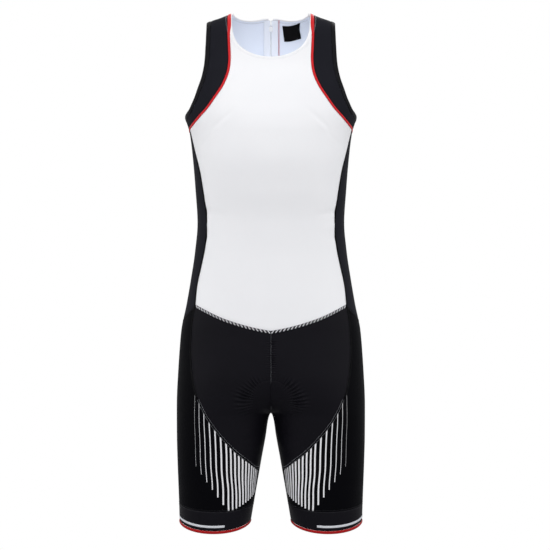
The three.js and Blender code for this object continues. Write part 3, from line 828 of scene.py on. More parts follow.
@dataclass(frozen=True)
class SeatPuckers:
    """The ripples that the sewn seat pad and the middle seam draw into the shorts' front."""

    centre: float = -697.0
    half_width: float = 40.0
    half_height: float = 41.0
    ripples: int = 52
    depth: float = 2.1
    least_reach: float = 4.0
    most_reach: float = 13.0
    peak: float = 0.7
    middle_share: float = 0.35
    flank_power: float = 1.5
    uneven: Wave = Wave(9, 0.2, 0.7)
    wobbles: tuple[Wave, Wave] = (Wave(5, 1.1), Wave(11, 0.7, 1.0))
    fades_from: float = -706.0
    fades_to: float = -722.0
    stitch_depth: float = 0.6
    stitch_width: float = 1.4
    bulge: float = 1.5
    bulge_reach: float = 1.1
    bulge_power: float = 0.6
    hollow_at: Pair = (24.0, -700.0)
    hollow_width: float = 15.0
    hollow_depth: float = 3.0
    seam_pitch: float = 4.0
    seam_depth: float = 1.4
    seam_reach: float = 7.0
    seam_from: float = -660.0
    seam_to: float = -580.0
    seam_fades: Pair = (25.0, 6.0)
    seam_uneven: float = 0.2
    uneven_length: float = 5.0
    seam_drift: float = 0.8
    drift_length: float = 9.0
    right_share: float = 0.3
    front_from: float = -18.0
    front_softness: float = 6.0

    def relief(self, points: Array) -> Array:
        """How far the pad and its sewing move each point of the shorts' front outwards.

        Args:
            points: points of the cloth.

        Returns:
            An array of lengths.
        """
        in_front = 1 / (1 + np.exp((points[..., 1] - self.front_from) / self.front_softness))
        return (self._pad(points) + self._seam(points)) * in_front

    def _pad(self, points: Array) -> Array:
        """The pad's stitched outline, the puckers that fan out from it and the hollow beside the crotch.

        Args:
            points: points of the cloth.

        Returns:
            An array of lengths.
        """
        x, z = points[..., 0], points[..., 2]
        ring = np.hypot(x / self.half_width, (z - self.centre) / self.half_height)
        turn = np.arctan2(z - self.centre, x)
        outside = (ring - 1) * self.half_width
        flank = np.abs(np.cos(turn)) ** self.flank_power
        reach = self.least_reach + (self.most_reach - self.least_reach) * flank
        uneven = 1 - self.uneven.size + self.uneven.at(turn)
        band = uneven * np.exp(-(((outside - self.peak * reach + 1) / reach) ** 2))
        ripple = np.sin(self.ripples * turn + sum(wave.at(turn) for wave in self.wobbles))
        size = self.depth * (self.middle_share + (1 - self.middle_share) * flank)
        lasting = np.clip((z - self.fades_to) / (self.fades_from - self.fades_to), 0, 1)
        groove = -self.stitch_depth * np.exp(-((outside / self.stitch_width) ** 2))
        swell = self.bulge * np.clip(self.bulge_reach - ring, 0, 1) ** self.bulge_power
        from_hollow = np.hypot(np.abs(x) - self.hollow_at[0], z - self.hollow_at[1]) / self.hollow_width
        hollow = -self.hollow_depth * np.exp(-(from_hollow**2))
        return (size * band * ripple + groove) * lasting + swell + hollow

    def _seam(self, points: Array) -> Array:
        """The short level puckers beside the middle seam, mostly on the wearer's left.

        Args:
            points: points of the cloth.

        Returns:
            An array of lengths.
        """
        x, z = points[..., 0], points[..., 2]
        below, above = self.seam_fades
        span = np.clip((z - self.seam_from) / below, 0, 1) * np.clip((self.seam_to - z) / above, 0, 1)
        drift = self.seam_drift * np.sin(z / self.drift_length)
        uneven = 1 - self.seam_uneven + self.seam_uneven * np.sin(z / self.uneven_length)
        wave = np.sin(2 * np.pi * z / self.seam_pitch + drift) * uneven
        side = np.where(x > 0, 1.0, self.right_share)
        return self.seam_depth * wave * np.exp(-((x / self.seam_reach) ** 2)) * span * side


SEAT_PUCKERS = SeatPuckers()


ALL_EDGES = ("start", "end", "first", "last")


def seam_groove(points: Array, edges: Sequence[str]) -> Array:
    """The dip of the cloth towards its sewn edges.

    Args:
        points: rows of points.
        edges: which edges are sewn, of start, end, first and last.

    Returns:
        An array of lengths, 0 in the middle and below 0 at those edges.
    """
    width, depth = 1.6, 0.55
    down, along = span_lengths(points, 0), span_lengths(points, 1)
    away = {"start": down, "end": down[-1:] - down, "first": along, "last": along[:, -1:] - along}
    relief = np.zeros(points.shape[:2])
    for edge in edges:
        relief = np.minimum(relief, -depth * np.exp(-((away[edge] / width) ** 2)))
    return relief


def raised(across: int, height: float) -> Array:
    """The rounded relief of a narrow strip, for points across it.

    Args:
        across: how many points there are across the strip.
        height: how far its middle stands out.

    Returns:
        An array of lengths.
    """
    u = np.linspace(-1, 1, across)
    return height * (1 - u**4)


class Graph:
    """Adds nodes to a node tree and joins them."""

    def __init__(self, tree: bpy.types.NodeTree) -> None:
        """Takes the tree to work in."""
        self.tree = tree

    def node(self, kind: str, inputs: dict | None = None, **settings: object) -> bpy.types.Node:
        """Adds a node.

        Args:
            kind: the node's type, without the ShaderNode at its start.
            inputs: sockets or values by the input's name or number.
            settings: the node's own settings.

        Returns:
            The node.
        """
        made = self.tree.nodes.new(kind if kind.startswith("Node") else f"ShaderNode{kind}")
        for name, value in settings.items():
            setattr(made, name, value)
        for name, value in (inputs or {}).items():
            if isinstance(value, bpy.types.NodeSocket):
                self.tree.links.new(value, made.inputs[name])
            else:
                made.inputs[name].default_value = value
        return made

    def math(self, operation: str, *values: object) -> bpy.types.NodeSocket:
        """Adds a Math node on numbers or sockets and returns its output."""
        return self.node("Math", dict(enumerate(values)), operation=operation).outputs[0]

    def ramp(self, value: object, low: float, high: float) -> bpy.types.NodeSocket:
        """Adds a smooth step from 0 at the low value to 1 at the high one and returns its output."""
        inputs = {"Value": value, "From Min": low, "From Max": high}
        return self.node("MapRange", inputs, interpolation_type="SMOOTHSTEP").outputs[0]

    def mix(self, share: object, first: object, second: object) -> bpy.types.NodeSocket:
        """Adds a colour mix and returns its output."""
        made = self.node("Mix", {0: share, 6: first, 7: second}, data_type="RGBA")
        return made.outputs[2]


class Weave(Enum):
    """How a cloth is made. The value names its node group."""

    KNIT = "knit loops"
    RIB = "stretch ribs"
    TAPE = "woven tape"


class WeaveGroup:
    """A weave's shader node group, which takes a place on the cloth in millimetres and two pitches."""

    def __init__(self, weave: Weave) -> None:
        """Starts the group and finds the place in pitches across and along.

        Args:
            weave: the weave that it draws.
        """
        tree = bpy.data.node_groups.new(weave.value, "ShaderNodeTree")
        for label, kind in (("Place", "Vector"), ("Wale", "Float"), ("Course", "Float")):
            tree.interface.new_socket(label, in_out="INPUT", socket_type=f"NodeSocket{kind}")
        for label in ("Height", "Shade"):
            tree.interface.new_socket(label, in_out="OUTPUT", socket_type="NodeSocketFloat")
        self.graph = Graph(tree)
        given = self.graph.node("NodeGroupInput")
        self.put = self.graph.node("NodeGroupOutput")
        place = self.graph.node("SeparateXYZ", {0: given.outputs["Place"]})
        self.across = self.graph.math("DIVIDE", place.outputs[0], given.outputs["Wale"])
        self.along = self.graph.math("DIVIDE", place.outputs[1], given.outputs["Course"])

    def finish(self, height: bpy.types.NodeSocket, full: float) -> None:
        """Puts out the height and the shade, which paints shade on the weave's low parts.

        Args:
            height: the weave's height.
            full: the height from which the shade is full.
        """
        starts = 0.1
        self.graph.tree.links.new(height, self.put.inputs["Height"])
        self.graph.tree.links.new(self.graph.ramp(height, starts, full), self.put.inputs["Shade"])


def knit_group() -> None:
    """Builds the loops of a knit: slanting legs, column by column."""
    group = WeaveGroup(Weave.KNIT)
    graph, across, along = group.graph, group.across, group.along
    slant, leg_middle, steepness, full = 1.3, 0.25, 3.2, 0.7
    leg = graph.math("PINGPONG", across, 0.5)
    slanted = graph.math("ADD", along, graph.math("MULTIPLY", leg, slant))
    loop = graph.math("ABSOLUTE", graph.math("SINE", graph.math("MULTIPLY", slanted, math.pi)))
    off_leg = graph.math("ABSOLUTE", graph.math("SUBTRACT", leg, leg_middle))
    ridge = graph.math("SUBTRACT", 1.0, graph.math("MULTIPLY", off_leg, steepness))
    group.finish(graph.math("MULTIPLY", loop, ridge), full)


def rib_group() -> None:
    """Builds fine ribs with small links across them, as in stretch mesh."""
    group = WeaveGroup(Weave.RIB)
    graph, across, along = group.graph, group.across, group.along
    link_share, full = 0.3, 0.8
    rib = graph.math("ABSOLUTE", graph.math("SINE", graph.math("MULTIPLY", across, math.pi)))
    row = graph.math("MULTIPLY", graph.math("FLOOR", across), 0.5)
    turned = graph.math("MULTIPLY", graph.math("ADD", along, row), math.pi)
    link = graph.math("ABSOLUTE", graph.math("SINE", turned))
    linked = graph.math("ADD", 1 - link_share, graph.math("MULTIPLY", link, link_share))
    group.finish(graph.math("MULTIPLY", rib, linked), full)


def tape_group() -> None:
    """Builds crossing threads, as in woven tape."""
    group = WeaveGroup(Weave.TAPE)
    graph, full = group.graph, 0.8
    across, along = (
        graph.math("SINE", graph.math("MULTIPLY", way, math.pi)) for way in (group.across, group.along)
    )
    product = graph.math("MULTIPLY", across, along)
    group.finish(graph.math("ADD", graph.math("MULTIPLY", product, 0.5), 0.5), full)


def new_material(name: str) -> tuple[bpy.types.Material, Graph]:
    """Starts an empty node material and gives it with its graph.

    Args:
        name: its name.

    Returns:
        The material and its graph.
    """
    made = bpy.data.materials.new(name)
    made.use_nodes = True
    made.node_tree.nodes.clear()
    return made, Graph(made.node_tree)


@dataclass(frozen=True)
class ClothFinish:
    """A cloth with its loops or threads, its soft unevenness, its sheen and painted shade between its loops.
    """

    name: str
    colour: Triple
    # darker colour, used for painted shade between the loops and for random darker tone
    shade: Triple
    weave: Weave = Weave.KNIT
    wale: float = 0.9
    course: float = 1.1
    bump: float = 0.35
    roughness: float = 0.62
    specular: float = 0.25
    sheen: float = 0.1
    sheen_colour: Triple = (1, 1, 1)
    striped: bool = False
    cloud_scale: float = 14.0
    cloud_range: Pair = (0.1, 0.9)
    fibre_scale: float = 2.2
    fibre_height: float = 0.4
    weave_share: float = 0.6
    loop_height: float = 0.00012
    rough_spread: float = 0.12
    sheen_roughness: float = 0.4

    def material(self) -> bpy.types.Material:
        """Builds the material.

        Returns:
            A material that reads the piece's own UV map, which is in millimetres.
        """
        made, graph = new_material(self.name)
        uv = graph.node("UVMap", uv_map="cloth").outputs[0]
        inputs = {"Place": uv, "Wale": self.wale, "Course": self.course}
        weave = graph.node("Group", inputs, node_tree=bpy.data.node_groups[self.weave.value])
        place = graph.node("TexCoord").outputs["Object"]
        clouds = {"Vector": place, "Scale": self.cloud_scale, "Detail": 3.0}
        cloudy = graph.ramp(graph.node("TexNoise", clouds).outputs[0], *self.cloud_range)
        strands = {"Vector": uv, "Scale": self.fibre_scale, "Detail": 2.0}
        fibres = graph.node("TexNoise", strands).outputs[0]
        # The weave's low parts take the darker shade colour, which is painted shade between the loops and
        # threads; the clouds and fibres add random tone.
        tone = graph.math("MULTIPLY", weave.outputs["Shade"], cloudy)
        tone = graph.math("MULTIPLY", tone, self.weave_share)
        tone = graph.math("ADD", tone, graph.math("MULTIPLY", fibres, 0.5))
        colour = graph.mix(tone, (*self.shade, 1), (*self.colour, 1))
        if self.striped:
            colour = self._stripes(graph, colour)
        fine = graph.math("MULTIPLY", fibres, self.fibre_height)
        height = graph.math("ADD", weave.outputs["Height"], fine)
        bump = graph.node("Bump", {"Strength": self.bump, "Distance": self.loop_height, "Height": height})
        spread_out = graph.math("MULTIPLY", fibres, self.rough_spread)
        rough = graph.math("ADD", self.roughness - self.rough_spread / 2, spread_out)
        shader = graph.node("BsdfPrincipled", {
            "Base Color": colour,
            "Roughness": rough,
            "Normal": bump.outputs[0],
            "Specular IOR Level": self.specular,
            "Sheen Weight": self.sheen,
            "Sheen Roughness": self.sheen_roughness,
            "Sheen Tint": (*self.sheen_colour, 1),
        })
        graph.node("OutputMaterial", {0: shader.outputs[0]})
        return made

    @staticmethod
    def _stripes(graph: Graph, colour: bpy.types.NodeSocket) -> bpy.types.NodeSocket:
        """Lays the leg's graduated bars over a colour.

        Args:
            graph: the material's graph.
            colour: the cloth's colour.

        Returns:
            The colour with the bars.
        """
        bars = LEG_BARS
        place = graph.node("SeparateXYZ", {0: graph.node("UVMap", uv_map="bars").outputs[0]})
        below = graph.node("Attribute", attribute_name="below_seam").outputs["Fac"]
        number = graph.math("ROUND", place.outputs[0])
        away = graph.math("ABSOLUTE", graph.math("SUBTRACT", place.outputs[0], number))
        away = graph.math("MULTIPLY", away, bars.pitch)
        grown = graph.math("POWER", graph.math("DIVIDE", number, bars.growth), bars.quickening)
        fading = graph.math("EXPONENT", graph.math("MULTIPLY", grown, -1.0))
        half = graph.math("MULTIPLY", graph.math("SUBTRACT", 1.0, fading), bars.widest / 2)
        inside = graph.math("SUBTRACT", half, away)
        mask = graph.ramp(inside, -bars.side_blur, bars.side_blur)
        early = graph.math("SUBTRACT", bars.first_end, graph.math("MULTIPLY", number, bars.step))
        late = graph.math("ADD", bars.turn_end, graph.math("MULTIPLY", number, bars.rise))
        end = graph.math("MAXIMUM", early, late)
        mask = graph.math("MULTIPLY", mask, graph.math("GREATER_THAN", place.outputs[1], end))
        mask = graph.math("MULTIPLY", mask, graph.ramp(below, bars.margin, bars.margin + bars.top_blur))
        mask = graph.math("MULTIPLY", mask, graph.math("GREATER_THAN", number, 0.5))
        mask = graph.math("MULTIPLY", mask, graph.math("LESS_THAN", number, bars.count + 0.5))
        return graph.mix(mask, colour, (*bars.colour, 1))


@dataclass(frozen=True)
class LegBars:
    """The plain upright bars on the leg, which widen towards the inside."""

    count: int = 17
    pitch: float = 9.4
    at_height: float = -826.0
    middle_bar: float = 5.0
    middle_at: float = -0.8
    lean: float = 0.112
    leg_lean: float = -0.073
    waver: float = 0.07
    waver_length: float = 11.0
    waver_slant: float = 24.0
    waver_at: float = -840.0
    waver_reach: float = 45.0
    closes_from: float = 7.0
    closing: float = 0.28
    widest: float = 6.0
    growth: float = 8.7
    quickening: float = 1.4
    first_end: float = -796.0
    step: float = 13.5
    turn_end: float = -910.2
    rise: float = 2.9
    margin: float = 3.0
    side_blur: float = 0.25
    top_blur: float = 0.8
    seam_from: float = -600.0
    colour: Triple = (0.9, 0.9, 0.93)

    def place(self, points: Array) -> tuple[Array, Array]:
        """Where points are among the bars.

        Args:
            points: points of the leg panel on the wearer's left.

        Returns:
            The bar's number as a fraction, and how far the point is below the diagonal seam.
        """
        z = points[..., 2]
        degrees = FIGURE.angle_of(points)
        steps = 24
        above = np.maximum(z, Figure.CROTCH)
        start_x = FIGURE.leg(np.array(Figure.CROTCH)) + self.leg_lean * (above - Figure.CROTCH)
        first = np.where(z > Figure.CROTCH, FIGURE.angle_at(start_x, above, Side.FRONT), 0.0)
        turns = first + np.linspace(0, 1, steps + 1)[:, None, None] * (degrees - first)
        path = FIGURE.around(turns, np.broadcast_to(z, turns.shape))
        arc = np.linalg.norm(np.diff(path, axis=0), axis=-1).sum(axis=0)
        inwards = -np.sign(degrees - first) * arc
        shifted = inwards - self.lean * (self.at_height - z) - self.middle_at
        phase = (z - self.at_height) / self.waver_length + inwards / self.waver_slant
        wave = self.waver * np.sin(phase) * np.exp(-(((z - self.waver_at) / self.waver_reach) ** 2))
        number = self.middle_bar + shifted / self.pitch + wave
        number += self.closing * np.maximum(number - self.closes_from, 0)
        lower_seam = [(x, height) for height, x in CUT.leg_seam if height < self.seam_from]
        in_front = np.abs(degrees) < 90
        below = np.where(in_front, height_on(lower_seam, points[..., 0]) - z, -1.0)
        return number, below


LEG_BARS = LegBars()


@dataclass(frozen=True)
class HardFinish:
    """Moulded or enamelled zip parts, with fine grain."""

    name: str
    colour: Triple
    roughness: float = 0.35
    metallic: float = 0.0
    coat: float = 0.2
    coat_roughness: float = 0.3
    grain_scale: float = 900.0
    grain_range: Pair = (0.3, 0.7)
    grain_shade: float = 0.78
    grain_bump: float = 0.2
    grain_height: float = 0.00005
    rough_spread: float = 0.16

    def material(self) -> bpy.types.Material:
        """Builds the material.

        Returns:
            A material that reads Object coordinates.
        """
        made, graph = new_material(self.name)
        place = graph.node("TexCoord").outputs["Object"]
        noise = {"Vector": place, "Scale": self.grain_scale, "Detail": 3.0}
        grain = graph.node("TexNoise", noise).outputs[0]
        darker = tuple(self.grain_shade * c for c in self.colour)
        colour = graph.mix(graph.ramp(grain, *self.grain_range), (*darker, 1), (*self.colour, 1))
        spread_out = graph.math("MULTIPLY", grain, self.rough_spread)
        rough = graph.math("ADD", self.roughness - self.rough_spread / 2, spread_out)
        inputs = {"Strength": self.grain_bump, "Distance": self.grain_height, "Height": grain}
        bump = graph.node("Bump", inputs)
        shader = graph.node("BsdfPrincipled", {
            "Base Color": colour,
            "Roughness": rough,
            "Metallic": self.metallic,
            "Coat Weight": self.coat,
            "Coat Roughness": self.coat_roughness,
            "Normal": bump.outputs[0],
        })
        graph.node("OutputMaterial", {0: shader.outputs[0]})
        return made


WHITE_KNIT = ClothFinish("white knit", (0.93, 0.93, 0.945), (0.85, 0.855, 0.885), bump=0.3, sheen=0.0)
# Painted shade: the inside of the white cloth is a darker, bluer copy of the white knit, standing in for the
# shade inside the hollow suit.
WHITE_INSIDE_SHADE = ClothFinish("white knit inside painted shade", (0.79, 0.85, 0.97), (0.73, 0.8, 0.94), bump=0.3, sheen=0.0)
BLACK_KNIT = ClothFinish(
    "black knit", (0.0082, 0.0076, 0.0115), (0.0037, 0.0034, 0.0052), specular=0.07,
    roughness=0.55, sheen=0.004, sheen_colour=(0.7, 0.75, 1),
)
BARRED_KNIT = ClothFinish(
    "barred black knit", (0.002, 0.002, 0.0034), (0.001, 0.001, 0.0017), specular=0.035,
    roughness=0.65, sheen=0.006, sheen_colour=(0.6, 0.7, 1), striped=True,
)
STRETCH_MESH = ClothFinish(
    "stretch mesh", (0.0165, 0.0168, 0.0235), (0.0075, 0.0077, 0.0108), weave=Weave.RIB,
    wale=1.3, course=1.6, bump=0.5, roughness=0.72, specular=0.05, sheen=0.003, sheen_colour=(0.7, 0.78, 1),
)
RED_EDGING = ClothFinish(
    "red edging", (0.7, 0.014, 0.02), (0.52, 0.01, 0.014), weave=Weave.RIB, wale=1.0, course=1.2,
    roughness=0.45, specular=0.2, sheen=0.0,
)
HEM_RED = ClothFinish(
    "hem red", (0.5, 0.007, 0.008), (0.3, 0.004, 0.005), weave=Weave.RIB, wale=1.0, course=1.2,
    roughness=0.5, specular=0.15, sheen=0.0,
)
BLACK_BINDING = ClothFinish(
    "black binding", (0.007, 0.0071, 0.01), (0.003, 0.003, 0.0042), weave=Weave.RIB, wale=1.1, course=1.3,
    roughness=0.55, specular=0.1, sheen=0.0,
)
WHITE_BINDING = ClothFinish("white binding", (0.93, 0.93, 0.945), (0.85, 0.855, 0.885), bump=0.3, sheen=0.0)
# Painted shade: the folded seam edges are real ridges, but this colour is darker than their cloth and stands
# in for the shade along the seams.
SEAM_SHADE_BLACK = ClothFinish(
    "seam black painted shade", (0.0016, 0.0016, 0.0022), (0.0008, 0.0008, 0.0012), specular=0.04, sheen=0.0,
)
LIGHT_PRINT = ClothFinish("light print", (0.78, 0.79, 0.83), (0.6, 0.62, 0.67), bump=0.2, sheen=0.0)
ZIP_TAPE = ClothFinish(
    "zip tape", (0.86, 0.9, 0.97), (0.74, 0.79, 0.9), weave=Weave.TAPE, wale=0.7, course=0.7, sheen=0.0,
)
LABEL_SATIN = ClothFinish(
    "label satin", (0.003, 0.003, 0.004), (0.0015, 0.0015, 0.002), weave=Weave.TAPE,
    wale=0.35, course=0.35, roughness=0.5, specular=0.04, sheen=0.0,
)
PAD_FABRIC = ClothFinish(
    "pad fabric", (0.08, 0.083, 0.095), (0.04, 0.042, 0.05), wale=2.4, course=2.4, bump=0.7,
)
GREY_THREAD = ClothFinish("grey thread", (0.42, 0.43, 0.46), (0.26, 0.27, 0.3), weave=Weave.TAPE, wale=0.3)
PALE_THREAD = ClothFinish("pale thread", (0.86, 0.87, 0.9), (0.66, 0.67, 0.71), weave=Weave.TAPE, wale=0.3)
DARK_THREAD = ClothFinish(
    "dark thread", (0.03, 0.031, 0.036), (0.014, 0.0145, 0.018), weave=Weave.TAPE, wale=0.3,
)
WHITE_THREAD = ClothFinish("white thread", (0.84, 0.85, 0.88), (0.6, 0.62, 0.68), weave=Weave.TAPE, wale=0.3)
COIL = HardFinish("zip coil", (0.6, 0.62, 0.68), roughness=0.4)
ENAMEL = HardFinish("white enamel", (0.78, 0.8, 0.85), roughness=0.28, coat=0.5)
TAB_METAL = HardFinish("tab metal", (0.42, 0.43, 0.46), roughness=0.3, metallic=0.9)

MATERIALS: dict[str, bpy.types.Material] = {}


def material_of(finish: ClothFinish | HardFinish) -> bpy.types.Material:
    """A finish's material, which is built the first time it is asked for."""
    if finish.name not in MATERIALS:
        MATERIALS[finish.name] = finish.material()
    return MATERIALS[finish.name]


def finished(obj: bpy.types.Object, finish: ClothFinish | HardFinish) -> None:
    """Gives an object its material."""
    obj.data.materials.clear()
    obj.data.materials.append(material_of(finish))


def shade_lined(obj: bpy.types.Object, inside: ClothFinish) -> None:
    """Gives the inner face of a shell a second finish, which paints shade on the suit's inside."""
    obj.data.materials.append(material_of(inside))
    obj.modifiers[SHELL].material_offset = 1


def add_object(name: str, data: bpy.types.ID) -> bpy.types.Object:
    """Puts new data into the scene as an object at the origin.

    Args:
        name: its name.
        data: its mesh, light or camera.

    Returns:
        The object.
    """
    obj = bpy.data.objects.new(name, data)
    bpy.context.scene.collection.objects.link(obj)
    return obj


def add_map(mesh: bpy.types.Mesh, name: str, flat: Array) -> None:
    """Gives a mesh a UV map from the flat place of each vertex.

    Args:
        mesh: the mesh.
        name: the map's name.
        flat: the flat places.
    """
    corner = np.zeros(len(mesh.loops), dtype=int)
    mesh.loops.foreach_get("vertex_index", corner)
    mesh.uv_layers.new(name=name).data.foreach_set("uv", flat[corner].ravel())


def cloth_object(
    name: str, points: Array, relief: Array, thickness: float, finish: ClothFinish
) -> bpy.types.Object:
    """Makes a thin shell from rows of points.

    Args:
        name: the piece's name.
        points: rows of points on the figure.
        relief: how far each one is moved outwards.
        thickness: the cloth's thickness, which goes inwards.
        finish: its finish.

    Returns:
        The object, with a UV map in millimetres over the cloth.
    """
    rows, columns = points.shape[:2]
    placed = points + FIGURE.outward(points) * relief[..., None]
    bm = bmesh.new()
    bmesh.ops.create_grid(bm, x_segments=columns - 1, y_segments=rows - 1, size=1)
    bm.verts.ensure_lookup_table()
    for vert, place in zip(bm.verts, placed.reshape(-1, 3) * MM):
        vert.co = place
    bm.normal_update()
    middle = (rows // 2) * columns + columns // 2
    outward = Vector(FIGURE.outward(points.reshape(-1, 3)[middle]))
    bm.verts.ensure_lookup_table()
    if bm.verts[middle].normal.dot(outward) < 0:
        bmesh.ops.reverse_faces(bm, faces=bm.faces[:])
    lengths = np.stack([span_lengths(points, 1), span_lengths(points, 0)], axis=-1).reshape(-1, 2)
    layer = bm.loops.layers.uv.new("cloth")
    for face in bm.faces:
        face.smooth = True
        for loop in face.loops:
            loop[layer].uv = lengths[loop.vert.index]
    mesh = bpy.data.meshes.new(name)
    bm.to_mesh(mesh)
    bm.free()
    obj = add_object(name, mesh)
    shell = obj.modifiers.new(SHELL, "SOLIDIFY")
    shell.thickness = thickness * MM
    shell.offset = -1
    finished(obj, finish)
    return obj


def joined_to_suit(
    obj: bpy.types.Object, nodes: Sequence[str] = (), body: str = SUIT
) -> bpy.types.Object:
    """Makes a piece ride on its body and hides the nodes that it stands for.

    Args:
        obj: the piece.
        nodes: the nodes.
        body: the body.

    Returns:
        The piece.
    """
    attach(obj, body)
    if nodes:
        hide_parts(*nodes)
    return obj


@dataclass
class Sheet:
    """A cloth piece, its cut size and what is sewn on it."""

    piece: bpy.types.Object
    points: Array
    trims: list[bpy.types.Object] = field(default_factory=list)
    stretch: float = 1.04


def all_folds(points: Array) -> Array:
    """The relief of every soft crease on both sides of the suit.

    Args:
        points: rows of points.

    Returns:
        An array of lengths.
    """
    relief = np.zeros(points.shape[:2])
    for fold in FOLDS:
        relief += fold.relief(points, False) + fold.relief(points, True)
    return relief


def cut_piece(
    node: str,
    points: Array,
    sewn: Sequence[str],
    cloth: float,
    finish: ClothFinish,
    more: Array | float = 0.0,
) -> bpy.types.Object:
    """Makes a cut piece of cloth that stands for a node.

    Args:
        node: the node's name.
        points: rows of points on the figure.
        sewn: which edges are sewn, of start, end, first and last.
        cloth: the cloth's thickness.
        finish: its finish.
        more: relief that is added to the seams' and the creases'.

    Returns:
        The piece.
    """
    relief = seam_groove(points, sewn) + all_folds(points) + more
    piece = cloth_object(f"{node}_cloth", points, relief, cloth, finish)
    joined_to_suit(piece, (node,))
    return piece


def spread(line: Array, counts: Sequence[int], corners: Sequence[int] = ()) -> Array:
    """More points along a line of points, settled on the figure."""
    return FIGURE.settle(finer(line, counts, corners))


def patch(grid: Array, rows: Sequence[int], columns: Sequence[int], corners: Sequence[int] = ()) -> Array:
    """A finer grid of points on the figure.

    Args:
        grid: rows of points.
        rows: how many steps each stretch between two rows is cut into.
        columns: the same between two columns.
        corners: rows at which a neighbour ends.

    Returns:
        The finer rows of points.
    """
    tall = finer(grid, rows, corners)
    return FIGURE.settle(finer(tall.swapaxes(0, 1), columns).swapaxes(0, 1))


def between(first: Array, second: Array, columns: int) -> Array:
    """Rows of points from one line to another, settled on the figure.

    Args:
        first: the line at the start.
        second: the one at the end.
        columns: how many steps.

    Returns:
        The rows of points.
    """
    share = np.linspace(0, 1, columns + 1)[None, :, None]
    grid = first[:, None] * (1 - share) + second[:, None] * share
    grid[:, 1:-1] = FIGURE.settle(grid[:, 1:-1])
    return grid


BODY_STEPS = 6
SIDE_STEPS = 3
ROW_STEPS = 10
ARM_STEPS = 8
BAND_STEPS = 4
LEG_STEPS = 8
STRIP_COLUMNS = 4
STRIP_SUNK = 0.2


class FinePattern:
    """The pattern's pieces with closely spaced points, and the lines where they meet."""

    yoke_overlap = 0.8

    def __init__(self) -> None:
        """Refines every piece, with the same points on both sides of each seam."""
        pattern = Pattern()
        self.pattern = pattern
        trunk = len(CUT.trunk_rows)
        self.front_half = self._trunk(pattern.front_half, trunk)
        self.front = np.concatenate([mirrored(self.front_half)[:, :0:-1], self.front_half], axis=1)
        self.back_half = self._trunk(pattern.back_half, trunk)
        side_rows = [ROW_STEPS] * (trunk - 1) + [ARM_STEPS]
        self.side_panel = patch(pattern.side_panel, side_rows, [SIDE_STEPS] * CUT.side_columns)
        self.arm = {side: self._arm(side) for side in Side}

    @staticmethod
    def _trunk(half: Array, trunk: int) -> Array:
        """Half of the trunk's front or back, with a corner where its piping starts."""
        rows = [ROW_STEPS] * (trunk - 1) + [ARM_STEPS] * (len(half) - trunk)
        return patch(half, rows, [BODY_STEPS] * CUT.body_columns, (trunk,))

    def _arm(self, side: Side) -> ArmLines:
        """The lines round the armhole. The last stretch of piping follows the side panel's top.

        Args:
            side: the front or the back.

        Returns:
            The four lines.
        """
        coarse = self.pattern.arm[side]
        last = len(coarse.piping) - 2
        corners = (CUT.top_steps,) if side is Side.FRONT else ()
        under = SIDE_STEPS * CUT.side_columns // 2
        upper = spread(coarse.piping[: last + 1], [ARM_STEPS] * last, corners)
        top = self.side_panel[-1]
        lower = top[: under + 1] if side is Side.FRONT else top[: under - 1 : -1]
        piping = np.concatenate([upper, lower[1:]])
        edge = spread(coarse.edge, [ARM_STEPS] * last + [under])
        return arm_lines(side, piping, edge, self.yoke_overlap)


class Threads:
    """Sewing threads and coils, drawn as thin round lines and made into one mesh."""

    def __init__(self, name: str, radius: float, sides: int = 1) -> None:
        """Starts an empty bundle.

        Args:
            name: the piece's name.
            radius: the thread's radius.
            sides: how round the thread is, where 0 is four-sided.
        """
        self.name = name
        self.curve = bpy.data.curves.new(name, "CURVE")
        self.curve.dimensions = "3D"
        self.curve.bevel_depth = radius * MM
        self.curve.bevel_resolution = sides
        self.curve.use_fill_caps = True

    def line(self, points: Array) -> None:
        """Adds a thread through points.

        Args:
            points: its points.
        """
        spline_data = self.curve.splines.new("POLY")
        spline_data.points.add(len(points) - 1)
        flat = np.concatenate([points * MM, np.ones((len(points), 1))], axis=1)
        spline_data.points.foreach_set("co", flat.astype(np.float32).ravel())

    def done(self, finish: ClothFinish | HardFinish) -> bpy.types.Object:
        """Turns the bundle into a mesh object.

        Args:
            finish: its finish.

        Returns:
            The object, with a UV map.
        """
        source = add_object(self.name, self.curve)
        mesh = bpy.data.meshes.new_from_object(source)
        bpy.data.objects.remove(source)
        bpy.data.curves.remove(self.curve)
        mesh.name = self.name
        obj = add_object(self.name, mesh)
        place = np.zeros(len(mesh.vertices) * 3)
        mesh.vertices.foreach_get("co", place)
        place = place.reshape(-1, 3) / MM
        add_map(mesh, "cloth", np.stack([place[:, 0] + place[:, 1], place[:, 2]], axis=-1))
        mesh.shade_smooth()
        finished(obj, finish)
        return obj


def walk(line: Array, step: float) -> tuple[Array, Array]:
    """Evenly spaced points along a line, and the direction to its left on the figure.

    Args:
        line: the line's points.
        step: the spacing.

    Returns:
        The points and the unit vectors.
    """
    lengths = np.concatenate([[0], np.cumsum(np.linalg.norm(np.diff(line, axis=0), axis=1))])
    at = np.arange(step / 2, lengths[-1], step)
    points = np.stack([np.interp(at, lengths, line[:, axis]) for axis in range(3)], axis=-1)
    ahead = np.gradient(points, axis=0)
    left = np.cross(FIGURE.outward(points), ahead)
    return points, left / np.linalg.norm(left, axis=-1, keepdims=True)


def flatlock(threads: Threads, line: Array, half: float, pitch: float, lean: float) -> None:
    """Sews slanting threads across a seam.

    Args:
        threads: the bundle that takes them.
        line: the seam.
        half: how far they reach on each side.
        pitch: their spacing.
        lean: how far each one slants along the seam.
    """
    points, left = walk(line, pitch)
    ahead = np.gradient(points, axis=0)
    ahead /= np.linalg.norm(ahead, axis=-1, keepdims=True)
    out = FIGURE.outward(points)
    lifts = (-0.3, 0.32, 0.4, 0.32, -0.3)
    for i in range(len(points)):
        t = np.linspace(-1, 1, len(lifts))[:, None]
        path = points[i] + left[i] * half * t + ahead[i] * lean * t
        threads.line(path + out[i] * np.array(lifts)[:, None])


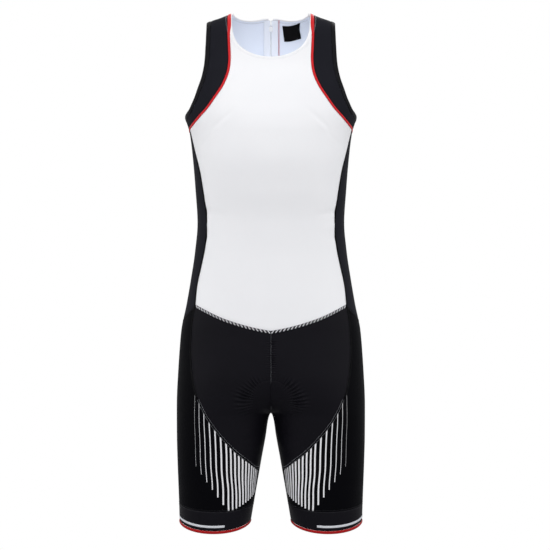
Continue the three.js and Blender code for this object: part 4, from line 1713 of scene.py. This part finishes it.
def running(
    threads: Threads, line: Array, aside: float, pitch: float = 3.0, share: float = 0.78, base: float = 0.0
) -> None:
    """Sews a row of short stitches beside a seam.

    Args:
        threads: the bundle that takes them.
        line: the seam.
        aside: how far to its left the row lies.
        pitch: the length of a stitch and its gap.
        share: how much of that the stitch takes.
        base: how far out the row lies. Below 0 it lies on the inside and bows inwards.
    """
    points, left = walk(line, pitch)
    ahead = np.gradient(points, axis=0)
    out = FIGURE.outward(points)
    sunk, bowed, bend = -0.28, 0.12, 0.3
    lifts = np.array([sunk, bowed, bowed, sunk]) * (1 if base >= 0 else -1) + base
    t = np.array([-0.5, -bend, bend, 0.5])[:, None] * share
    for i in range(len(points)):
        path = points[i] + left[i] * aside + ahead[i] * t
        threads.line(path + out[i] * lifts[:, None])


@dataclass
class Shoulders:
    """The yokes, the red pipings and the bindings round both armholes."""

    fine: FinePattern
    yoke_columns: int = 12
    piping_height: float = 0.7
    shoulder_extra: float = 2.3
    binding_height: float = 0.6
    binding_columns: int = 6
    cloth: float = 1.1

    def build(self) -> None:
        """Builds both sides of both armholes."""
        for side in Side:
            lines = self.fine.arm[side]
            yoke = between(lines.piping_outer, lines.binding, self.yoke_columns)
            piping = between(self._widened(lines.piping, side), lines.piping_outer, STRIP_COLUMNS)
            binding = between(lines.binding, lines.edge, self.binding_columns)
            for hand, turned in HANDS:
                trims = [
                    self._strip(
                        f"{side.value}_piping_{hand}", turned(piping), self.piping_height,
                        RED_EDGING, "red_edging",
                    ),
                    self._strip(
                        f"{side.value}_armhole_binding_{hand}", turned(binding), self.binding_height,
                        BLACK_BINDING, "black_binding",
                    ),
                ]
                cut_piece(
                    f"{side.value}_yoke_{hand}", turned(yoke), ("first", "last"), self.cloth,
                    STRETCH_MESH,
                )

    def _widened(self, line: Array, side: Side) -> Array:
        """The piping's neck edge, which covers part of the neck binding on the shoulder.

        Args:
            line: the piping's seam.
            side: the front or the back.

        Returns:
            As many points.
        """
        to_neck = -1 if side is Side.FRONT else 1
        fades_from, fades_to = -28.0, -50.0
        share = np.clip((line[:, 2] - fades_to) / (fades_from - fades_to), 0, 1)[:, None]
        wider = line + (beside(line, to_neck * self.shoulder_extra) - line) * share
        wider[0] = FIGURE.ridge(wider[0, 0])
        return FIGURE.settle(wider)

    def _strip(
        self, node: str, points: Array, height: float, finish: ClothFinish, slot: str
    ) -> bpy.types.Object:
        """One narrow rounded strip that stands for a node."""
        relief = np.broadcast_to(raised(points.shape[1], height), points.shape[:2]) - STRIP_SUNK
        piece = cloth_object(f"{node}_strip", points, relief, self.cloth, finish)
        return joined_to_suit(piece, (node,))


@dataclass
class Trunk:
    """The white front and back, and the dark side panels."""

    fine: FinePattern
    cloth: float = 1.2

    def build(self) -> None:
        """Builds the five pieces."""
        self._white("front_body", self.fine.front, ("start", "first", "last"))
        for hand, turned in HANDS:
            self._white(f"back_body_{hand}", turned(self.fine.back_half), ("start", "last"))
            panel = turned(self.fine.side_panel)
            cut_piece(f"side_panel_{hand}", panel, ALL_EDGES, self.cloth, STRETCH_MESH)

    def _white(self, node: str, points: Array, sewn: Sequence[str]) -> None:
        """One white piece, its inside painted with shade by a darker, bluer copy of its cloth."""
        piece = cut_piece(node, points, sewn, self.cloth, WHITE_KNIT)
        shade_lined(piece, WHITE_INSIDE_SHADE)


@dataclass
class Shorts:
    """The shorts' fronts and backs, and the leg panels with their bars."""

    fine: FinePattern
    cloth: float = 1.2
    front_rows: tuple = (20, 42, 48, 50, 50, 44, 30, 20, 12, 8, 8, 8, 8, 8, 8)
    front_columns: tuple = (14, 14, 12, 9, 6, 5, 4, 4)
    back_rows: tuple = (8, 8, 9, 9, 10, 9, 7, 7, 7, 7, 7, 7, 7, 8, 8, 8, 8, 8)
    panel_columns: int = 4

    def build(self) -> None:
        """Builds the six pieces."""
        pattern = self.fine.pattern
        corners = (CUT.inner_rows.index(Figure.CROTCH), CUT.seam_rows)
        front = patch(pattern.shorts_front, self.front_rows, self.front_columns, corners[:1])
        back = patch(pattern.shorts_back, self.back_rows, [BODY_STEPS] * CUT.body_columns, corners)
        panel_rows = [LEG_STEPS] * (len(CUT.inner_rows) - 1)
        columns = [self.panel_columns] * CUT.side_columns
        panel = patch(pattern.leg_panel, panel_rows, columns, corners)
        for hand, turned in HANDS:
            points, sewn = turned(front), ("start", "first", "last")
            puckers = SEAT_PUCKERS.relief(points)
            self._piece(f"shorts_front_{hand}", points, sewn, BLACK_KNIT, puckers)
            self._piece(f"shorts_back_{hand}", turned(back), ALL_EDGES, BLACK_KNIT)
            piece = self._piece(f"leg_panel_{hand}", turned(panel), ALL_EDGES, BARRED_KNIT)
            self._bars(piece, panel)

    def _piece(
        self, node: str, points: Array, sewn: Sequence[str], finish: ClothFinish, more: Array | float = 0.0
    ) -> bpy.types.Object:
        """One cut piece of the shorts."""
        return cut_piece(node, points, sewn, self.cloth, finish, more)

    @staticmethod
    def _bars(piece: bpy.types.Object, points: Array) -> None:
        """Gives a leg panel the map and the attribute that its bars are laid out by.

        Args:
            piece: the panel.
            points: its points on the wearer's left.
        """
        number, below = LEG_BARS.place(points)
        add_map(piece.data, "bars", np.stack([number.ravel(), points[..., 2].ravel()], axis=-1))
        heights = piece.data.attributes.new("below_seam", "FLOAT", "POINT")
        heights.data.foreach_set("value", below.ravel())


@dataclass
class Hems:
    """The band at each leg's hem, its red edge and the light line."""

    fine: FinePattern
    cloth: float = 1.2
    edge_height: float = 0.9
    line_height: float = 0.35
    line_cloth: float = 0.25
    cloth_rows: tuple = (9, 3, 3)
    edge_rows: tuple = (6,)

    def build(self) -> None:
        """Builds both legs."""
        band = self.fine.pattern.band
        columns = [BAND_STEPS] * (band.shape[1] - 1)
        cloth = patch(band[:4], self.cloth_rows, columns)
        edge = patch(band[3:5], self.edge_rows, columns)
        first, last = CUT.hem_line_columns
        line = patch(band[1:3, first : last + 1], [BAND_STEPS], [BAND_STEPS] * (last - first))[:, 1:]
        for hand, turned in HANDS:
            rounded = raised(edge.shape[0], self.edge_height)[:, None] - STRIP_SUNK
            relief = np.broadcast_to(rounded, edge.shape[:2])
            red = cloth_object(f"hem_edge_{hand}_roll", turned(edge), relief, self.cloth, HEM_RED)
            joined_to_suit(red, (f"hem_edge_{hand}",))
            relief = np.full(line.shape[:2], self.line_height)
            name = f"hem_line_{hand}_print"
            light = cloth_object(name, turned(line), relief, self.line_cloth, LIGHT_PRINT)
            joined_to_suit(light, (f"hem_line_{hand}",))
            cut_piece(
                f"hem_band_{hand}", turned(cloth), ("start", "end"), self.cloth,
                BLACK_KNIT,
            )


@dataclass
class Neck:
    """The rolled bindings round the neck and the bare label inside the back."""

    fine: FinePattern
    roll: float = 2.4
    roll_power: float = 2.4
    cloth: float = 1.3
    columns: int = 6
    label_depth: float = -2.1
    label_cloth: float = 0.6
    label_rows: tuple = (1.15, 2, 2.72)
    label_row_steps: tuple = (6, 8)
    label_columns: tuple = (2.0, 3.2, 4.4, 5.75)
    label_column_steps: tuple = (6, 6, 8)
    label_lean: float = 0.35

    def front_line(self) -> Array:
        """The seam of the front binding on the wearer's left, from the middle to the shoulder."""
        top = CUT.top_steps * ARM_STEPS
        return np.concatenate([self.fine.front_half[-1], self.fine.arm[Side.FRONT].piping[:top][::-1]])

    def build(self) -> None:
        """Builds the three bindings and the label."""
        shoulder = FIGURE.ridge(CUT.shoulder_neck - CUT.neck_binding_width)
        front = self.front_line()
        edge = beside(front, CUT.neck_binding_width)
        edge[0, 0] = 0
        edge[-1] = shoulder
        edge = self._smoothed(edge)
        half = between(front, edge, self.columns)
        both = np.concatenate([mirrored(half)[:0:-1], half])
        self._binding("neck_binding_front", both)
        back = self.fine.back_half[-1]
        edge = beside(back, -CUT.neck_binding_width)
        edge[0, 0] = CUT.zip_gap
        edge[-1] = shoulder
        half = between(back, edge, self.columns)
        self._binding("neck_binding_back_left", half)
        self._binding("neck_binding_back_right", mirrored(half))
        self._label()

    @staticmethod
    def _smoothed(line: Array) -> Array:
        """A line without its corners. Its ends stay, and it stays level at the middle of the suit.

        Args:
            line: the line on the wearer's left, from the middle.

        Returns:
            As many points.
        """
        rounds = 60
        both = np.concatenate([mirrored(line)[:0:-1], line])
        for _ in range(rounds):
            both[1:-1] = both[1:-1] / 2 + (both[:-2] + both[2:]) / 4
        return FIGURE.settle(both[len(line) - 1 :])

    def _binding(self, node: str, points: Array) -> None:
        """One rounded binding that stands for a node.

        Args:
            node: the node's name.
            points: its rows of points.
        """
        u = np.linspace(0, 1, points.shape[1])
        relief = np.broadcast_to(-self.roll * u**self.roll_power, points.shape[:2])
        piece = cloth_object(f"{node}_roll", points, relief, self.cloth, WHITE_BINDING)
        joined_to_suit(piece, (node,))

    def _label(self) -> None:
        """The bare label, which hangs from the neck seam inside the back."""
        grid = self.fine.pattern.back_half[::-1]
        rows = []
        for row in self.label_rows:
            columns = np.array(self.label_columns) + self.label_lean * (row - self.label_rows[0])
            i = int(row)
            j = columns.astype(int)
            share = (columns - j)[:, None]
            upper = grid[i][j] * (1 - share) + grid[i][j + 1] * share
            lower = grid[i + 1][j] * (1 - share) + grid[i + 1][j + 1] * share
            rows.append(upper * (1 - row + i) + lower * (row - i))
        points = patch(np.array(rows), self.label_row_steps, self.label_column_steps)
        relief = np.full(points.shape[:2], self.label_depth)
        piece = cloth_object("neck_label_satin", points, relief, self.label_cloth, LABEL_SATIN)
        joined_to_suit(piece, ("neck_label",))


@dataclass
class BackZip:
    """The zip down the back: tapes, their edging, two coils, the slider and its tab."""

    fine: FinePattern
    tape: Pair = (0.2, 13.5)
    parted: float = 0.8
    parts_from: float = -27.0
    parts_to: float = -15.0
    trim: Pair = (14.2, 15.1)
    tape_depth: float = -1.9
    tape_cloth: float = 0.9
    tape_columns: int = 5
    trim_columns: int = 2
    rows_past_end: int = 2
    coil_thread: float = 0.36
    coil_half: float = 0.95
    coil_pitch: float = 1.35
    coil_depth: float = -1.5
    coil_swing: float = 0.8
    coil_rise: float = 0.75
    chain_top: float = -26.0

    def build(self) -> None:
        """Builds the zip."""
        start = CUT.trunk_rows.index(int(CUT.zip_closed)) * ROW_STEPS - self.rows_past_end
        heights = self.fine.back_half[start:, 0, 2]
        share = np.clip((heights - self.parts_from) / (self.parts_to - self.parts_from), 0, 1)
        near = self.tape[0] + (self.parted - self.tape[0]) * share
        tape = self._strip(heights, near, self.tape[1], self.tape_columns)
        for hand, turned in HANDS:
            relief = np.full(tape.shape[:2], self.tape_depth)
            piece = cloth_object(f"zip_tape_{hand}_woven", turned(tape), relief, self.tape_cloth, ZIP_TAPE)
            joined_to_suit(piece, (f"zip_tape_{hand}",))
        near = np.full_like(heights, self.trim[0])
        trim = self._strip(heights, near, self.trim[1], self.trim_columns)
        relief = np.full(trim.shape[:2], self.tape_depth)
        piece = cloth_object("zip_tape_edging_strip", trim, relief, self.tape_cloth, RED_EDGING)
        joined_to_suit(piece, ("zip_tape_edging",))
        self._coils(heights)
        for node, slot, finish, body in (
            ("zip_slider", "zip_slider", ENAMEL, SUIT),
            ("zip_pull_tab", "pull_tab", TAB_METAL, PULL_TAB_BODY),
        ):
            joined_to_suit(softened_copy(node, finish), (node,), body)

    @staticmethod
    def _strip(heights: Array, near: Array, far: float, columns: int) -> Array:
        """A strip down the back between two distances from the middle.

        Args:
            heights: the heights of its rows.
            near: the nearer distance in each row.
            far: the farther one.
            columns: how many steps.

        Returns:
            The rows of points.
        """
        share = np.linspace(0, 1, columns + 1)
        across = near[:, None] * (1 - share) + far * share
        return FIGURE.shown(across, heights[:, None], Side.BACK)

    def _coils(self, heights: Array) -> None:
        """Two flattened coils that meet in the middle.

        Args:
            heights: the tape's heights, upwards.
        """
        threads = Threads("zip_coils", self.coil_thread, 0)
        per_turn = 8
        top, bottom = self.chain_top, float(heights[0])
        turns = int((top - bottom) / self.coil_pitch)
        t = np.arange(turns * per_turn + 1) / per_turn
        z = bottom + t * self.coil_pitch
        for sign in (-1, 1):
            swing = np.cos(2 * np.pi * t) * sign
            x = sign * self.coil_half + swing * self.coil_half * self.coil_swing
            middle = FIGURE.shown(np.abs(x), z, Side.BACK)
            middle[:, 0] = x
            depth = self.coil_depth + self.coil_rise * np.sin(2 * np.pi * t)
            threads.line(middle + FIGURE.outward(middle) * depth[:, None])
        joined_to_suit(threads.done(COIL), ("zip_chain",))


def merged_copy(node: str) -> tuple[bpy.types.Mesh, bmesh.types.BMesh]:
    """A copy of a node's mesh with its loose triangles joined, and a bmesh to shape it in.

    Args:
        node: the node's name.

    Returns:
        The copy and the bmesh.
    """
    mesh = bpy.data.objects[node].data.copy()
    bm = bmesh.new()
    bm.from_mesh(mesh)
    bmesh.ops.remove_doubles(bm, verts=bm.verts[:], dist=2e-6)
    return mesh, bm


def softened_copy(node: str, finish: HardFinish, radius: float = 0.25) -> bpy.types.Object:
    """Makes a copy of a moulded node with its edges rounded.

    Args:
        node: the node's name.
        finish: its finish.
        radius: the radius of its edges.

    Returns:
        The copy.
    """
    sharp = math.radians(25)
    mesh, bm = merged_copy(node)
    bmesh.ops.dissolve_limit(bm, angle_limit=math.radians(1), verts=bm.verts[:], edges=bm.edges[:])
    edges = [edge for edge in bm.edges if edge.is_manifold and edge.calc_face_angle() > sharp]
    bmesh.ops.bevel(
        bm, geom=edges, offset=radius * MM, offset_type="OFFSET", segments=2, profile=0.5,
        affect="EDGES", clamp_overlap=True, material=-1,
    )
    for face in bm.faces:
        face.smooth = False
    bm.to_mesh(mesh)
    bm.free()
    obj = add_object(f"{node}_rounded", mesh)
    finished(obj, finish)
    return obj


@dataclass
class SeatPad:
    """The soft pad that is sewn inside the seat."""

    node: str = "seat_pad"
    fill: float = 0.5

    def build(self) -> None:
        """Makes a smooth copy of the pad's node."""
        mesh, bm = merged_copy(self.node)
        layer = bm.loops.layers.uv.new("cloth")
        for face in bm.faces:
            face.smooth = True
            for loop in face.loops:
                place = loop.vert.co / MM
                loop[layer].uv = (place.x, place.z + place.y)
        bm.to_mesh(mesh)
        bm.free()
        obj = add_object(f"{self.node}_foam", mesh)
        soft = obj.modifiers.new("soft faces", "SUBSURF")
        soft.levels = soft.render_levels = 1
        finished(obj, PAD_FABRIC)
        joined_to_suit(obj, (self.node,))


def both_hands(line: Array) -> tuple[tuple[Array, int], tuple[Array, int]]:
    """A line and its mirror image, each with the sign that keeps a distance on the same side of it."""
    return (line, 1), (mirrored(line), -1)


@dataclass
class Sewing:
    """The stitching that shows on the outside, and the cloth edges that are turned and stitched down."""

    fine: FinePattern
    overlap_width: float = 2.1
    rope_thread: float = 0.8
    border_thread: float = 0.3
    dark_thread: float = 0.18
    leg_thread: float = 0.17
    overlock_thread: float = 0.13
    middle_thread: float = 0.11
    neck_thread: float = 0.16
    inside_thread: float = 0.2
    leg_pitch: float = 2.6
    middle_pitch: float = 1.6
    neck_pitch: float = 2.4
    border_share: float = 0.8
    middle_share: float = 0.9
    rope_half: float = 1.9
    rope_pitch: float = 7.0
    rope_lean: float = 2.4
    side_fold: float = 3.2
    hip_fold: float = 4.2
    leg_fold: float = 3.6
    fold_lifts: tuple = (-0.45, -0.05, 0.2, 0.28, 0.12)
    overlap_lifts: tuple = (-0.5, 0.1, 0.25, 0.25, 0.1)
    strip_cloth: float = 0.5
    bars_from: float = -688.0
    twin_rows: tuple = (-1.7, 1.7)
    border_aside: float = 2.3
    neck_aside: float = 2.0
    inside_neck_aside: float = 3.5
    inside_depth: float = -1.35
    leg_rows: tuple = (-1.7, 0.9, 2.8)
    hip_rows: tuple = (-3.3, -0.9, 1.7)
    side_row: float = 2.4
    binding_row: float = 1.2
    piping_row: float = 1.4
    middle_aside: float = 0.35
    middle_stretches: int = 8
    overlock_half: float = 0.9
    overlock_pitch: float = 1.1
    overlock_lean: float = 0.5
    overlock_steps: int = 24
    overlock: tuple = ((79, -6), (80, -19), (77.5, -34), (73, -50))

    def build(self) -> None:
        """Sews every seam."""
        self._overlap()
        self._waist()
        self._folds()
        self._dark_rows()
        self._pale_rows()
        self._neck()

    def _waist(self) -> None:
        """The rope-like seam round the waist, with a row of stitches above it."""
        rope = Threads("waist_flatlock", self.rope_thread)
        border = Threads("waist_border_stitching", self.border_thread, 0)
        for half, up in ((self.fine.front_half[0], 1), (self.fine.back_half[0], -1)):
            for path, hand in both_hands(half):
                flatlock(rope, path, self.rope_half, self.rope_pitch, self.rope_lean * hand)
                aside = self.border_aside * up * hand
                running(border, path, aside, self.rope_pitch / 2, self.border_share)
        self._done(rope, PALE_THREAD, "white_knit")
        self._done(border, GREY_THREAD, "white_knit")

    def _leg_seam(self) -> Array:
        """The seam between the shorts' front and the leg panel."""
        return spread(self.fine.pattern.leg_seam, [LEG_STEPS] * CUT.seam_rows)

    def _hip_seam(self) -> Array:
        """The seam under the side panel."""
        return spread(self.fine.pattern.side_panel[0], [BAND_STEPS] * CUT.side_columns)

    def _folds(self) -> None:
        """The folded cloth edges along the side, hip and upper leg seams, coloured darker than their cloth
        as painted shade.
        """
        panel, seam = self.fine.side_panel, self._leg_seam()
        edges = {
            "side_front": (panel[:, 0], -self.side_fold),
            "side_back": (panel[:, -1], self.side_fold),
            "hip": (self._hip_seam(), -self.hip_fold),
            "leg": (seam[seam[:, 2] > self.bars_from], self.leg_fold),
        }
        for name, (line, width) in edges.items():
            grid = between(line, beside(line, width), STRIP_COLUMNS)
            self._strips(f"{name}_fold", grid, self.fold_lifts, SEAM_SHADE_BLACK)

    def _dark_rows(self) -> None:
        """The rows of dark stitches beside the dark cloth's seams."""
        fine, pattern = self.fine, self.fine.pattern
        seam = self._leg_seam()
        back_seam = spread(pattern.leg_panel[:, -1], [LEG_STEPS] * (len(CUT.inner_rows) - 1))
        hem = spread(pattern.band[0], [BAND_STEPS] * (pattern.band.shape[1] - 1))
        rows = [
            (seam[seam[:, 2] > self.bars_from], self.leg_rows),
            (self._hip_seam(), self.hip_rows),
            (fine.side_panel[:, 0], (-self.side_row,)),
            (fine.side_panel[:, -1], (self.side_row,)),
            (back_seam, self.twin_rows),
            (hem, self.twin_rows),
        ]
        for side in Side:
            lines, sign = fine.arm[side], 1 if side is Side.FRONT else -1
            rows.append((lines.binding, (self.binding_row * sign,)))
            rows.append((lines.piping_outer, (-self.piping_row * sign,)))
        dark = Threads("dark_seam_stitching", self.dark_thread, 0)
        for line, places in rows:
            for path, hand in both_hands(line):
                for aside in places:
                    running(dark, path, aside * hand)
        self._done(dark, DARK_THREAD, "black_knit")

    def _pale_rows(self) -> None:
        """The grey stitches of the diagonal leg seams, the middle seam and the shoulders."""
        seam = self._leg_seam()
        leg = Threads("leg_seam_stitching", self.leg_thread, 0)
        overlock = Threads("shoulder_overlock", self.overlock_thread, 0)
        shoulder = [FIGURE.shown(x, z, Side.FRONT) for x, z in self.overlock]
        for path, _ in both_hands(seam[seam[:, 2] < self.bars_from]):
            for aside in self.twin_rows:
                running(leg, path, aside, self.leg_pitch)
        for path, hand in both_hands(spline(shoulder, self.overlock_steps)):
            flatlock(overlock, path, self.overlock_half, self.overlock_pitch, self.overlock_lean * hand)
        middle = Threads("middle_seam_thread", self.middle_thread, 0)
        counts = [LEG_STEPS] * self.middle_stretches
        line = spread(self.fine.pattern.shorts_front[: self.middle_stretches + 1, 0], counts)
        line = line + np.array([self.middle_aside, 0, 0])
        running(middle, line, 0, self.middle_pitch, self.middle_share)
        self._done(leg, GREY_THREAD, "black_knit")
        self._done(middle, GREY_THREAD, "black_knit")
        self._done(overlock, GREY_THREAD, "stretch_panel")

    def _neck(self) -> None:
        """The stitches under the neck bindings, outside and inside."""
        neck = Threads("neck_stitching", self.neck_thread, 0)
        inside = Threads("inside_neck_stitching", self.inside_thread, 0)
        for path, hand in both_hands(Neck(self.fine).front_line()):
            running(neck, path, -self.neck_aside * hand, self.neck_pitch)
        for path, hand in both_hands(self.fine.back_half[-1]):
            running(neck, path, self.neck_aside * hand, self.neck_pitch)
            running(inside, path, self.inside_neck_aside * hand, self.leg_pitch, base=self.inside_depth)
        self._done(neck, WHITE_THREAD, "white_binding")
        self._done(inside, GREY_THREAD, "white_binding")

    def _overlap(self) -> None:
        """The strip of the shorts' cloth that lies over the white cloth at the waist seam."""
        for name, half, up in (("front", self.fine.front_half[0], 1), ("back", self.fine.back_half[0], -1)):
            grid = between(half, beside(half, up * self.overlap_width), STRIP_COLUMNS)
            grid[0, :, 0] = half[0, 0]
            self._strips(f"waist_overlap_{name}", grid, self.overlap_lifts, BLACK_KNIT)

    def _strips(
        self, name: str, grid: Array, lifts: tuple[float, ...], finish: ClothFinish
    ) -> None:
        """A strip of cloth on both sides of the suit.

        Args:
            name: the strips' name, to which their side is added.
            grid: the points of the one on the wearer's left.
            lifts: how far each column of points stands out.
            finish: the cloth's finish.
        """
        relief = np.broadcast_to(np.array(lifts), grid.shape[:2])
        for hand, turned in HANDS:
            strip = cloth_object(f"{name}_{hand}", turned(grid), relief, self.strip_cloth, finish)
            joined_to_suit(strip)

    @staticmethod
    def _done(threads: Threads, finish: ClothFinish, slot: str) -> None:
        """Finishes a bundle."""
        joined_to_suit(threads.done(finish))


@dataclass(frozen=True)
class SoftLight:
    """A square soft light, with its place, size and aim in metres."""

    name: str
    place: Triple
    size: float
    power: float
    faces: Triple = (0, 0, -0.47)
    spread: float = 180

    def add(self) -> None:
        """Adds the light, which the camera doesn't see itself."""
        data = bpy.data.lights.new(self.name, "AREA")
        data.size = self.size
        data.energy = self.power
        data.spread = math.radians(self.spread)
        light = add_object(self.name, data)
        light.visible_camera = False
        light.location = self.place
        aim = Vector(self.faces) - Vector(self.place)
        light.rotation_euler = aim.to_track_quat("-Z", "Y").to_euler()


# The one called neck stands inside the hollow suit and lights the inner back.
LIGHTS = (
    SoftLight("key", (-0.4, -2.2, 1.7), size=0.8, power=0.55, faces=(0, 0, -0.2), spread=34),
    SoftLight("front", (0.3, -3.4, 0.1), size=1.8, power=11),
    SoftLight("left", (-2.2, -0.9, 0.2), size=1.2, power=10),
    SoftLight("right", (2.2, -0.9, 0.2), size=1.2, power=10),
    SoftLight("neck", (0, -0.05, -0.17), size=0.08, power=0.13, faces=(0, 0.08, -0.05)),
    SoftLight("back", (0.6, 3.0, 1.6), size=1.8, power=24),
)


@dataclass
class Studio:
    """A white background, a plain floor, soft lights and the camera at the photograph's angle."""

    camera_at: Triple = (0.0074, -3.8, -0.4716)
    lens: float = 138.2
    sees_to: float = 40.0
    floor_height: float = -1.6
    floor_half: float = 4.5
    floor_colour: Triple = (0.4, 0.4, 0.41)
    floor_roughness: float = 0.9
    light_above: float = 0.98
    light_below: float = 0.3

    def build(self) -> None:
        """Builds the camera, the lights, the floor and the background."""
        scene = bpy.context.scene
        camera = add_object("camera", bpy.data.cameras.new("camera"))
        camera.data.lens = self.lens
        camera.data.clip_end = self.sees_to
        camera.location = self.camera_at
        camera.rotation_euler = (math.pi / 2, 0, 0)
        scene.camera = camera
        scene.view_settings.view_transform = "Standard"
        for light in LIGHTS:
            light.add()
        self._floor()
        self._background()

    def _floor(self) -> None:
        """A plain pale floor."""
        bm = bmesh.new()
        bmesh.ops.create_grid(bm, x_segments=4, y_segments=4, size=self.floor_half)
        bmesh.ops.translate(bm, verts=bm.verts[:], vec=(0, 0, self.floor_height))
        mesh = bpy.data.meshes.new("floor")
        bm.to_mesh(mesh)
        bm.free()
        floor = add_object("floor", mesh)
        pale = bpy.data.materials.new("pale floor")
        pale.use_nodes = True
        shader = pale.node_tree.nodes["Principled BSDF"]
        shader.inputs["Base Color"].default_value = (*self.floor_colour, 1)
        shader.inputs["Roughness"].default_value = self.floor_roughness
        mesh.materials.append(pale)

    def _background(self) -> None:
        """A white background that lights the suit less than it shows."""
        world = bpy.data.worlds.new("studio")
        bpy.context.scene.world = world
        world.use_nodes = True
        world.node_tree.nodes.clear()
        graph = Graph(world.node_tree)
        seen = graph.node("LightPath").outputs["Is Camera Ray"]
        direction = graph.node("TexCoord").outputs["Generated"]
        up = graph.node("SeparateXYZ", {0: direction}).outputs[2]
        inputs = {"Value": up, "From Min": -1.0, "To Min": self.light_below, "To Max": self.light_above}
        lit = graph.node("MapRange", inputs).outputs[0]
        level = graph.node("MapRange", {"Value": seen, "To Min": lit, "To Max": 1.0}).outputs[0]
        shader = graph.node("Background", {"Color": (1, 1, 1, 1), "Strength": level})
        graph.node("OutputWorld", {0: shader.outputs[0]})


def main() -> None:
    """Builds the suit and its studio in order."""
    logging.basicConfig(level=logging.INFO, format="%(name)s: %(message)s")
    for build_group in (knit_group, rib_group, tape_group):
        build_group()
    Studio().build()
    fine = FinePattern()
    for part in (Trunk(fine), Shoulders(fine), Neck(fine), BackZip(fine), Shorts(fine), Hems(fine)):
        part.build()
        LOG.info("%s built", type(part).__name__)
    SeatPad().build()
    Sewing(fine).build()


if __name__ == "__main__":
    main()
